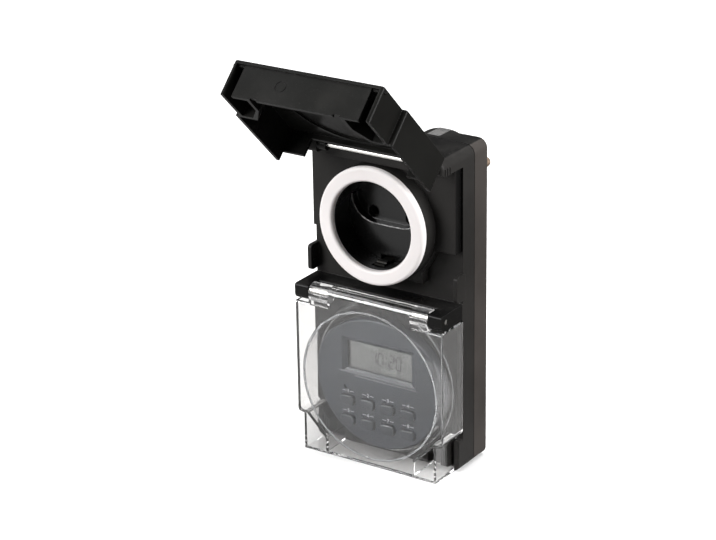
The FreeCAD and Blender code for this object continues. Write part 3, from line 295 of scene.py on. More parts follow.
@dataclass(frozen=True)
class Effect:
    """A shader group that several finishes share, with its named inputs and outputs."""

    name: str
    inputs: tuple[tuple[str, float], ...]
    outputs: tuple[str, ...]
    fill: Callable[[NodeSheet, dict[str, Socket]], dict[str, Socket]]

    def tree(self) -> bpy.types.NodeTree:
        """Gives the group's tree, building it the first time.

        Returns:
            The shader node group.
        """
        if self.name in bpy.data.node_groups:
            return bpy.data.node_groups[self.name]
        tree = bpy.data.node_groups.new(self.name, "ShaderNodeTree")
        for label, value in self.inputs:
            made = tree.interface.new_socket(label, in_out="INPUT", socket_type="NodeSocketFloat")
            made.default_value = value
        for label in self.outputs:
            tree.interface.new_socket(label, in_out="OUTPUT", socket_type="NodeSocketFloat")
        sheet = NodeSheet(tree)
        entry = sheet.add("NodeGroupInput")
        leave = sheet.add("NodeGroupOutput")
        found = self.fill(sheet, {label: entry.outputs[label] for label, _ in self.inputs})
        for label in self.outputs:
            sheet.join(found[label], leave.inputs[label])
        return tree

    def place(self, sheet: NodeSheet, **values: float) -> bpy.types.Node:
        """Puts the group into a material.

        Args:
            sheet: The material's tree.
            values: The group's inputs by name, with _ for a space.

        Returns:
            The group node.
        """
        node = sheet.add("ShaderNodeGroup", node_tree=self.tree())
        for label, value in values.items():
            node.inputs[label.replace("_", " ").capitalize()].default_value = value
        return node


def fill_grain(sheet: NodeSheet, given: dict[str, Socket]) -> dict[str, Socket]:
    """Makes the fine pitted grain of a spark-eroded mould, and the slow drift of its gloss.

    Args:
        sheet: The group's tree.
        given: The group's inputs.

    Returns:
        Its outputs by name.
    """
    where = sheet.own_place()
    fine = sheet.noise(where, given["Grain scale"], detail=2.0)
    pits = sheet.add("ShaderNodeTexVoronoi", feature="SMOOTH_F1")
    sheet.join(where, pits.inputs["Vector"])
    sheet.join(sheet.sum("MULTIPLY", given["Grain scale"], PIT_SCALE), pits.inputs["Scale"])
    height = sheet.sum("ADD", fine, sheet.sum("MULTIPLY", pits.outputs["Distance"], PIT_SHARE))
    drift = sheet.between(sheet.noise(where, given["Drift scale"], detail=4.0), 0.3, 0.7)
    return {"Height": height, "Drift": drift, "Speckle": sheet.between(fine, 0.35, 0.65)}


def fill_wear(sheet: NodeSheet, given: dict[str, Socket]) -> dict[str, Socket]:
    """Finds the edges, by how far a rounded normal leaves the true one: edges that hands and tools rub, which
    the finishes paint paler partly as a painted highlight where edges catch light.

    Args:
        sheet: The group's tree.
        given: The group's inputs.

    Returns:
        Its outputs by name.
    """
    where = sheet.own_place()
    plain = sheet.add("ShaderNodeNewGeometry").outputs["Normal"]
    together = sheet.add("ShaderNodeVectorMath", operation="DOT_PRODUCT")
    sheet.join(sheet.rounded(given["Radius"]), together.inputs[0])
    sheet.join(plain, together.inputs[1])
    edge = sheet.between(together.outputs["Value"], UNWORN_BEND, WORN_BEND)
    patchy = sheet.between(sheet.noise(where, WORN_PATCHES, detail=5.0), 0.38, 0.62, 0.25, 1.0)
    return {"Mask": sheet.sum("MULTIPLY", edge, patchy, limit=True)}


def fill_dust(sheet: NodeSheet, given: dict[str, Socket]) -> dict[str, Socket]:
    """Lets a little pale dust lie on what faces up, in soft patches with a few specks.

    Args:
        sheet: The group's tree.
        given: The group's inputs.

    Returns:
        Its outputs by name.
    """
    where = sheet.own_place()
    facing_up = sheet.apart(sheet.add("ShaderNodeNewGeometry").outputs["Normal"])[2]
    upward = sheet.between(facing_up, 0.1, 0.95, 0.12, 1.0)
    patches = sheet.between(sheet.noise(where, DUST_PATCHES, detail=6.0), 0.35, 0.75)
    specks = sheet.between(sheet.noise(where, DUST_SPECKS, detail=1.0), 0.68, 0.74)
    lying = sheet.sum("ADD", sheet.sum("MULTIPLY", patches, 0.6), specks)
    amount = sheet.sum("MULTIPLY", sheet.sum("MULTIPLY", lying, upward), given["Amount"], limit=True)
    return {"Mask": amount}


def fill_lines(sheet: NodeSheet, given: dict[str, Socket]) -> dict[str, Socket]:
    """Makes long thin marks in two directions: the hairlines of handling, or the lines of a drawn metal.

    Args:
        sheet: The group's tree.
        given: The group's inputs.

    Returns:
        Its outputs by name.
    """
    where = sheet.own_place()
    stretch = sheet.add("ShaderNodeCombineXYZ")
    for axis in "XYZ":
        sheet.join(given[f"Stretch {axis.lower()}"], stretch.inputs[axis])
    along = sheet.add("ShaderNodeVectorMath", operation="MULTIPLY")
    sheet.join(where, along.inputs[0])
    sheet.join(stretch.outputs[0], along.inputs[1])
    lines = sheet.noise(along.outputs[0], given["Line scale"], detail=3.0, roughness=0.7)
    askew = sheet.add("ShaderNodeVectorRotate", rotation_type="EULER_XYZ")
    sheet.join(where, askew.inputs["Vector"])
    askew.inputs["Rotation"].default_value = SCRATCH_TURN
    thin = sheet.stretched(askew.outputs[0], SCRATCH_STRETCH)
    crossing = sheet.noise(thin, given["Line scale"], detail=1.0)
    marks = sheet.between(sheet.sum("ABSOLUTE", sheet.sum("SUBTRACT", crossing, 0.5)), 0.012, 0.0)
    return {"Height": lines, "Streak": sheet.between(lines, 0.3, 0.7), "Scratch": marks}


GRAIN = Effect(
    "Moulded grain",
    (("Grain scale", 4200.0), ("Drift scale", 22.0)),
    ("Height", "Drift", "Speckle"),
    fill_grain,
)
WEAR_AND_HIGHLIGHT = Effect("Edge wear", (("Radius", 0.4 * MM),), ("Mask",), fill_wear)
DUST = Effect("Resting dust", (("Amount", 0.2),), ("Mask",), fill_dust)
LINES = Effect(
    "Fine lines",
    (("Line scale", 900.0), ("Stretch x", 1.0), ("Stretch y", 1.0), ("Stretch z", 1.0)),
    ("Height", "Streak", "Scratch"),
    fill_lines,
)


@dataclass(frozen=True)
class Finish:
    """What every finish has: a name, a colour and a roughness."""

    name: str
    colour: Colour
    roughness: float = 0.5

    def material(self) -> bpy.types.Material:
        """Gives the finish's material, building it the first time.

        Returns:
            The material.
        """
        if self.name in bpy.data.materials:
            return bpy.data.materials[self.name]
        material = bpy.data.materials.new(self.name)
        material.use_nodes = True
        material.node_tree.nodes.clear()
        sheet = NodeSheet(material.node_tree)
        shader = sheet.add("ShaderNodeBsdfPrincipled")
        leave = sheet.add("ShaderNodeOutputMaterial")
        sheet.join(self.surface(sheet, shader), leave.inputs["Surface"])
        material.diffuse_color = (*self.colour, 1.0)
        return material

    def surface(self, sheet: NodeSheet, shader: bpy.types.Node) -> Socket:
        """Joins up the surface; each kind of finish has its own.

        Args:
            sheet: The material's tree.
            shader: Its Principled shader.

        Returns:
            The socket that shows.
        """
        raise NotImplementedError


@dataclass(frozen=True)
class Area:
    """A box in which a surface differs from the rest, alike on the left and the right, in millimetres."""

    inner: float
    outer: float
    front: float
    back: float
    bottom: float
    top: float
    step: float = 0.1

    def mask(self, sheet: NodeSheet, outward: Socket, depth: Socket, height: Socket) -> Socket:
        """Finds what lies in the box.

        Args:
            sheet: The material's tree.
            outward: How far a point is from the middle plane.
            depth: Its place along Y.
            height: Its place along Z.

        Returns:
            The mask's socket, 1 inside the box.
        """
        inside = None
        for value, low, high in (
            (outward, self.inner, self.outer),
            (depth, self.front, self.back),
            (height, self.bottom, self.top),
        ):
            above = sheet.between(value, (low - self.step) * MM, (low + self.step) * MM)
            below = sheet.between(value, (high + self.step) * MM, (high - self.step) * MM)
            here = sheet.sum("MULTIPLY", above, below)
            inside = sheet.sum("MULTIPLY", inside, here) if inside else here
        return inside


@dataclass(frozen=True)
class MouldedPlastic(Finish):
    """Injection-moulded plastic or rubber with a fine grain, paler edges that stand partly for rubbing and
    partly for a painted highlight, some areas darker and glossier as painted shade on the shell tops and pad
    sides, and a trace of dust.
    """

    grain: float = 4200.0
    depth: float = 0.02 * MM
    shine: float = 0.5
    worn: Colour = (0.12, 0.12, 0.12)
    wear: float = 0.35
    dust: float = 0.15
    edge: float = 0.3 * MM
    drift: float = 0.25
    speckle: float = 0.3
    relief: float = 0.6
    rubbed_gloss: float = 0.25
    dulled: float = 0.3
    smoother: float = 0.05
    rougher: float = 0.06
    soft: float = 0.0
    soft_reach: Triple = (1.0, 0.9, 0.8)
    soft_depth: float = 1.5 * MM
    worn_in: tuple[Area, ...] = ()
    polished: tuple[Area, ...] = ()
    polished_colour: Colour = (0.004, 0.004, 0.004)
    polished_roughness: float = 0.26

    def within(self, sheet: NodeSheet, areas: tuple[Area, ...]) -> Socket:
        """Finds the parts of the surface that lie in some areas.

        Args:
            sheet: The material's tree.
            areas: The areas.

        Returns:
            The mask's socket, 1 in the areas.
        """
        sideways, depth, height = sheet.apart(sheet.own_place())
        outward = sheet.sum("ABSOLUTE", sideways)
        mask = areas[0].mask(sheet, outward, depth, height)
        for area in areas[1:]:
            mask = sheet.sum("MAXIMUM", mask, area.mask(sheet, outward, depth, height))
        return mask

    def surface(self, sheet: NodeSheet, shader: bpy.types.Node) -> Socket:
        """Joins up grain, painted shade in some areas, paler edges for rubbing and painted highlight, and
        dust.

        Args:
            sheet: The material's tree.
            shader: Its Principled shader.

        Returns:
            The Principled shader's socket.
        """
        grain = GRAIN.place(sheet, grain_scale=self.grain)
        wear = WEAR_AND_HIGHLIGHT.place(sheet, radius=self.edge)
        dust = DUST.place(sheet, amount=self.dust)
        lighter = tuple(min(1.0, part * (1.0 + self.drift)) for part in self.colour)
        darker = tuple(part * (1.0 - self.drift) for part in self.colour)
        colour = sheet.blend(grain.outputs["Drift"], darker, lighter)
        speckled = sheet.sum("MULTIPLY", grain.outputs["Speckle"], self.speckle)
        colour = sheet.blend(speckled, colour, lighter)
        # Painted shade: the listed areas get a darker colour here, and a lower roughness below
        shade_gloss_mask = self.within(sheet, self.polished) if self.polished else None
        if shade_gloss_mask:
            colour = sheet.blend(shade_gloss_mask, colour, self.polished_colour)
        # Paler edges: partly rubbing, partly a painted highlight where edges catch light; where the edges are
        # limited to some areas, they are only a painted highlight
        wear_and_highlight_mask = sheet.sum("MULTIPLY", wear.outputs["Mask"], self.wear)
        if self.worn_in:
            wear_and_highlight_mask = sheet.sum("MULTIPLY", wear_and_highlight_mask, self.within(sheet, self.worn_in))
        colour = sheet.blend(wear_and_highlight_mask, colour, self.worn)
        colour = sheet.blend(dust.outputs["Mask"], colour, DUST_COLOUR)
        sheet.join(colour, shader.inputs["Base Color"])
        smoothest, roughest = self.roughness - self.smoother, self.roughness + self.rougher
        gloss = sheet.between(grain.outputs["Drift"], 0.0, 1.0, smoothest, roughest)
        if shade_gloss_mask:
            drop = self.roughness - self.polished_roughness
            gloss = sheet.sum("SUBTRACT", gloss, sheet.sum("MULTIPLY", shade_gloss_mask, drop))
        gloss = sheet.sum("SUBTRACT", gloss, sheet.sum("MULTIPLY", wear_and_highlight_mask, self.rubbed_gloss))
        dulled = sheet.sum("MULTIPLY", dust.outputs["Mask"], self.dulled)
        sheet.join(sheet.sum("ADD", gloss, dulled, limit=True), shader.inputs["Roughness"])
        shader.inputs["Specular IOR Level"].default_value = self.shine
        if self.soft:
            shader.inputs["Subsurface Weight"].default_value = self.soft
            shader.inputs["Subsurface Radius"].default_value = self.soft_reach
            shader.inputs["Subsurface Scale"].default_value = self.soft_depth
        sheet.relief(shader, grain.outputs["Height"], self.depth, self.relief, sheet.rounded(self.edge))
        return shader.outputs[0]


@dataclass(frozen=True)
class ClearPlastic(Finish):
    """Clear moulded plastic with hairlines and smears, which lets lamps shine through it."""

    scratches: float = 0.03
    smears: float = 0.006
    hairline_scale: float = 500.0
    index: float = 1.49
    passing: float = 0.995

    def surface(self, sheet: NodeSheet, shader: bpy.types.Node) -> Socket:
        """Joins up the glass shader and what lamps meet in its stead.

        Args:
            sheet: The material's tree.
            shader: Its Principled shader.

        Returns:
            The mixed shader's socket.
        """
        lines = LINES.place(sheet, line_scale=self.hairline_scale)
        grain = GRAIN.place(sheet, grain_scale=900.0, drift_scale=45.0)
        shader.inputs["Base Color"].default_value = (*self.colour, 1.0)
        shader.inputs["Transmission Weight"].default_value = 1.0
        shader.inputs["IOR"].default_value = self.index
        smeared = sheet.sum("MULTIPLY", grain.outputs["Drift"], self.smears)
        marked = sheet.sum("MULTIPLY", lines.outputs["Scratch"], self.scratches)
        gloss = sheet.sum("ADD", sheet.sum("ADD", smeared, marked), self.roughness, limit=True)
        sheet.join(gloss, shader.inputs["Roughness"])
        passing = sheet.add("ShaderNodeBsdfTransparent")
        passing.inputs["Color"].default_value = (self.passing, self.passing, self.passing, 1.0)
        mix = sheet.add("ShaderNodeMixShader")
        path = sheet.add("ShaderNodeLightPath")
        sheet.join(path.outputs["Is Shadow Ray"], mix.inputs[0])
        sheet.join(shader.outputs[0], mix.inputs[1])
        sheet.join(passing.outputs[0], mix.inputs[2])
        return mix.outputs[0]


@dataclass(frozen=True)
class LitEdge(Finish):
    """The light that gathers where two clear walls meet: a pale haze that lets part of the view through."""

    cover: float = 0.5
    sway: float = 0.1
    shade: float = 0.8

    def surface(self, sheet: NodeSheet, shader: bpy.types.Node) -> Socket:
        """Joins up the haze.

        Args:
            sheet: The material's tree.
            shader: Its Principled shader.

        Returns:
            The Principled shader's socket.
        """
        grain = GRAIN.place(sheet, grain_scale=700.0, drift_scale=60.0)
        darker = tuple(part * self.shade for part in self.colour)
        sheet.join(sheet.blend(grain.outputs["Drift"], self.colour, darker), shader.inputs["Base Color"])
        shader.inputs["Roughness"].default_value = self.roughness
        least, most = self.cover - self.sway, self.cover + self.sway
        sheet.join(sheet.between(grain.outputs["Drift"], 0.0, 1.0, least, most), shader.inputs["Alpha"])
        return shader.outputs[0]


@dataclass(frozen=True)
class Metal(Finish):
    """Drawn, turned or stamped metal with its lines, faint tarnish and a few scratches."""

    axis: Axis = Axis.X
    tarnish: Colour = (0.25, 0.2, 0.15)
    tarnished: float = 0.2
    line_scale: float = 2600.0
    line_depth: float = 0.01 * MM
    relief: float = 0.3
    streaks: float = 0.4
    stained_gloss: float = 0.4
    marked: float = 0.1
    paler: float = 1.15
    smoother: float = 0.05
    rougher: float = 0.08

    def surface(self, sheet: NodeSheet, shader: bpy.types.Node) -> Socket:
        """Joins up the lines, tarnish and scratches.

        Args:
            sheet: The material's tree.
            shader: Its Principled shader.

        Returns:
            The Principled shader's socket.
        """
        x, y, z = self.axis.value
        lines = LINES.place(sheet, line_scale=self.line_scale, stretch_x=x, stretch_y=y, stretch_z=z)
        grain = GRAIN.place(sheet, grain_scale=1800.0, drift_scale=160.0)
        stained = sheet.sum("MULTIPLY", grain.outputs["Drift"], self.tarnished)
        colour = sheet.blend(stained, self.colour, self.tarnish)
        lighter = tuple(min(1.0, part * self.paler) for part in self.colour)
        colour = sheet.blend(sheet.sum("MULTIPLY", lines.outputs["Streak"], self.streaks), colour, lighter)
        sheet.join(colour, shader.inputs["Base Color"])
        shader.inputs["Metallic"].default_value = 1.0
        smoothest, roughest = self.roughness - self.smoother, self.roughness + self.rougher
        gloss = sheet.between(lines.outputs["Streak"], 0.0, 1.0, smoothest, roughest)
        gloss = sheet.sum("ADD", gloss, sheet.sum("MULTIPLY", stained, self.stained_gloss))
        marked = sheet.sum("MULTIPLY", lines.outputs["Scratch"], self.marked)
        sheet.join(sheet.sum("ADD", gloss, marked, limit=True), shader.inputs["Roughness"])
        sheet.relief(shader, lines.outputs["Height"], self.line_depth, self.relief)
        return shader.outputs[0]


@dataclass(frozen=True)
class DisplayGlass(Finish):
    """The pale panel of a liquid crystal display, with a slow cloud in its tint."""

    shade: Colour = (0.2, 0.21, 0.2)
    cloud: float = 0.35
    speckle: float = 0.15
    coat: float = 0.3
    coat_roughness: float = 0.08
    rougher: float = 0.1

    def surface(self, sheet: NodeSheet, shader: bpy.types.Node) -> Socket:
        """Joins up the panel's cloud and its fine grain.

        Args:
            sheet: The material's tree.
            shader: Its Principled shader.

        Returns:
            The Principled shader's socket.
        """
        grain = GRAIN.place(sheet, grain_scale=5200.0, drift_scale=90.0)
        cloud = sheet.sum("MULTIPLY", grain.outputs["Drift"], self.cloud)
        colour = sheet.blend(cloud, self.colour, self.shade)
        speckled = sheet.sum("MULTIPLY", grain.outputs["Speckle"], self.speckle)
        sheet.join(sheet.blend(speckled, colour, self.shade), shader.inputs["Base Color"])
        roughest = self.roughness + self.rougher
        gloss = sheet.between(grain.outputs["Drift"], 0.0, 1.0, self.roughness, roughest)
        sheet.join(gloss, shader.inputs["Roughness"])
        shader.inputs["Coat Weight"].default_value = self.coat
        shader.inputs["Coat Roughness"].default_value = self.coat_roughness
        return shader.outputs[0]


@dataclass(frozen=True)
class CircuitBoard(Finish):
    """Glass-fibre board under green lacquer, with its copper tracks showing as paler lines."""

    track: Colour = (0.05, 0.16, 0.07)
    track_depth: float = 0.03 * MM
    bare: float = 0.16
    covered: float = 0.08
    cell_scale: float = 260.0
    weave: Colour = (0.03, 0.07, 0.03)
    weave_scale: float = 1400.0
    weave_share: float = 0.3
    weave_stretch: Triple = (1.0, 1.0, 3.0)
    rougher: float = 0.12

    def surface(self, sheet: NodeSheet, shader: bpy.types.Node) -> Socket:
        """Joins up the tracks, pads and the weave under the lacquer.

        Args:
            sheet: The material's tree.
            shader: Its Principled shader.

        Returns:
            The Principled shader's socket.
        """
        where = sheet.own_place()
        x, _, z = sheet.apart(where)
        flat = sheet.add("ShaderNodeCombineXYZ")
        sheet.join(x, flat.inputs["X"])
        sheet.join(z, flat.inputs["Y"])
        distances = []
        for feature in ("F2", "F1"):
            cells = sheet.add("ShaderNodeTexVoronoi", distance="CHEBYCHEV", feature=feature)
            cells.inputs["Scale"].default_value = self.cell_scale
            sheet.join(flat.outputs[0], cells.inputs["Vector"])
            distances.append(cells.outputs["Distance"])
        track = sheet.between(sheet.sum("SUBTRACT", *distances), self.bare, self.covered)
        colour = sheet.blend(track, self.colour, self.track)
        weave = sheet.noise(sheet.stretched(where, self.weave_stretch), self.weave_scale)
        woven = sheet.sum("MULTIPLY", weave, self.weave_share)
        sheet.join(sheet.blend(woven, colour, self.weave), shader.inputs["Base Color"])
        gloss = sheet.between(weave, 0.3, 0.7, self.roughness, self.roughness + self.rougher)
        sheet.join(gloss, shader.inputs["Roughness"])
        sheet.relief(shader, track, self.track_depth, 1.0)
        return shader.outputs[0]


# The tops of the shells and the sides of the pads get a darker colour as painted shade, with a lower
# roughness; the bridge's front gets the same darker, glossier colour. Along the socket insert's step edge a
# bright line is a painted highlight.
BRIDGE_FRONT = Area(inner=-1.0, outer=40.0, front=-70.0, back=-49.0, bottom=-47.2, top=-38.9)
PAD_SIDES = Area(inner=36.1, outer=37.3, front=-52.5, back=-48.2, bottom=-17.0, top=21.9)
SHELL_TOPS = Area(inner=-1.0, outer=40.0, front=-60.0, back=-20.0, bottom=28.6, top=32.0)
STEP_EDGE = Area(inner=-1.0, outer=18.3, front=-49.5, back=-48.0, bottom=-12.0, top=1.0)

HOUSING_BLACK = MouldedPlastic(
    "Housing black", (0.0165, 0.0157, 0.015), 0.42, shine=0.09, worn=(0.08, 0.08, 0.08), wear=0.3, dust=0.06,
    polished=(BRIDGE_FRONT, PAD_SIDES, SHELL_TOPS),
)
REAR_BLACK = MouldedPlastic(
    "Rear shell black", (0.035, 0.0305, 0.028), 0.5, shine=0.15, worn=(0.07, 0.07, 0.07), wear=0.3, dust=0.06,
    polished=(SHELL_TOPS,),
)
PLUG_BLACK = MouldedPlastic(
    "Plug black", (0.01, 0.0092, 0.0085), 0.5, shine=0.15, worn=(0.05, 0.05, 0.05), wear=0.3, dust=0.05,
)
# The flap's black is darker than the housing's: partly a glossier black, partly painted shade for the shade
# inside the open flap
FLAP_BLACK = MouldedPlastic(
    "Flap black", (0.006, 0.006, 0.0055), 0.32, shine=0.06, worn=(0.09, 0.09, 0.09), wear=0.35, dust=0.03,
)
WELL_BLACK = MouldedPlastic(
    "Socket black", (0.003, 0.003, 0.003), 0.3, depth=0.008 * MM, shine=0.2, wear=0.2, dust=0.03,
)
# The insert's white edge colour is a painted highlight: a bright line painted along the socket's step edge
INSERT_BLACK = MouldedPlastic(
    "Socket insert black", (0.002, 0.002, 0.002), 0.25, depth=0.004 * MM, shine=0.28, worn=(1.0, 1.0, 1.0),
    wear=1.0, dust=0.02, edge=0.8 * MM, worn_in=(STEP_EDGE,),
)
FACE_GREY = MouldedPlastic(
    "Timer grey", (0.010, 0.0135, 0.0205), 0.5, depth=0.01 * MM, worn=(0.15, 0.15, 0.16), wear=0.3, dust=0.03,
)
KEY_GREY = MouldedPlastic(
    "Key grey", (0.009, 0.012, 0.0185), 0.45, depth=0.01 * MM, worn=(0.16, 0.16, 0.17), wear=0.4, dust=0.03,
)
# The sill lines' pale grey is a painted highlight, standing for the light along the ledge's edges
SILL_GREY = MouldedPlastic(
    "Sill grey", (0.12, 0.125, 0.14), 0.35, depth=0.005 * MM, worn=(0.3, 0.3, 0.32), wear=0.4, dust=0.03,
)
SEAL_WHITE = MouldedPlastic(
    "Seal white", (0.79, 0.755, 0.75), 0.55, shine=0.35, worn=(0.85, 0.83, 0.82), wear=0.1, dust=0.02,
    drift=0.03, soft=0.12,
)
RUBBER_BLACK = MouldedPlastic("Black rubber", (0.02, 0.02, 0.02), 0.7, shine=0.3, wear=0.1)
CARRIER_BEIGE = MouldedPlastic(
    "Contact carrier beige", (0.52, 0.43, 0.3), 0.5, drift=0.08, worn=(0.6, 0.5, 0.38),
)
RELAY_BLUE = MouldedPlastic(
    "Relay blue", (0.02, 0.09, 0.34), 0.35, depth=0.006 * MM, drift=0.1, worn=(0.1, 0.2, 0.5),
)
SLEEVE_OCHRE = MouldedPlastic("Capacitor ochre", (0.45, 0.2, 0.03), 0.35, drift=0.12, worn=(0.6, 0.35, 0.1))
CHIP_BLACK = MouldedPlastic("Component black", (0.015, 0.015, 0.016), 0.5, grain=7000.0, wear=0.2)
PRINT_PALE = MouldedPlastic(
    "Pale print", (0.45, 0.46, 0.48), 0.6, depth=0.001 * MM, wear=0.0, dust=0.0, drift=0.1, edge=0.01 * MM,
)
SEGMENT_DARK = MouldedPlastic(
    "Display segments", (0.02, 0.02, 0.02), 0.6, depth=0.001 * MM, shine=0.1, wear=0.0, dust=0.0, drift=0.15,
    edge=0.01 * MM,
)
COVER_CLEAR = ClearPlastic("Clear cover", (0.79, 0.785, 0.78), 0.002)
LENS_CLEAR = ClearPlastic("Display lens", (0.97, 0.975, 0.975), 0.002)
ROD_STEEL = Metal("Polished rod", (0.58, 0.57, 0.55), 0.3, tarnished=0.08, line_depth=0.001 * MM, marked=0.0)
PLATED_STEEL = Metal("Plated steel", (0.6, 0.6, 0.6), 0.28)
LIT_EDGE = LitEdge("Cover edge light", (0.5, 0.51, 0.52), 0.5, cover=0.4)
# Near-black steel: painted shade, so the socket's contacts stay as dark as the recess they sit in
SHADED_DULL_STEEL = Metal("Dull steel", (0.02, 0.02, 0.019), 0.5, tarnished=0.4, tarnish=(0.03, 0.025, 0.02))
PIN_BRASS = Metal(
    "Pin brass", (0.62, 0.47, 0.36), 0.3, axis=Axis.Y, tarnish=(0.2, 0.12, 0.08), tarnished=0.35,
)
SOLDER_TIN = Metal("Solder", (0.66, 0.66, 0.67), 0.25, line_scale=900.0, tarnished=0.1)
PANEL_GLASS = DisplayGlass("Display panel", (0.125, 0.13, 0.126), 0.2, shade=(0.09, 0.094, 0.09))
BOARD_GREEN = CircuitBoard("Board green", (0.015, 0.07, 0.025), 0.35)

SLOT_FINISHES: dict[str, Finish] = {
    "housing_black": HOUSING_BLACK,
    "timer_grey": FACE_GREY,
    "clear_plastic": COVER_CLEAR,
    "white_seal": SEAL_WHITE,
    "black_rubber": RUBBER_BLACK,
    "bright_steel": PLATED_STEEL,
    "pin_brass": PIN_BRASS,
    "display_glass": PANEL_GLASS,
    "board_green": BOARD_GREEN,
    "part_black": CHIP_BLACK,
    "part_blue": RELAY_BLUE,
    "part_ochre": SLEEVE_OCHRE,
    "carrier_beige": CARRIER_BEIGE,
}


@dataclass
class Place:
    """Where one repeated shape stands, how it is turned and how it is stretched."""

    at: Vector
    turn: Vector = field(default_factory=lambda: Vector((0.0, 0.0, 0.0)))
    stretch: Vector = field(default_factory=lambda: Vector((1.0, 1.0, 1.0)))


FACING_BACK = Vector((math.radians(-90), 0.0, 0.0))


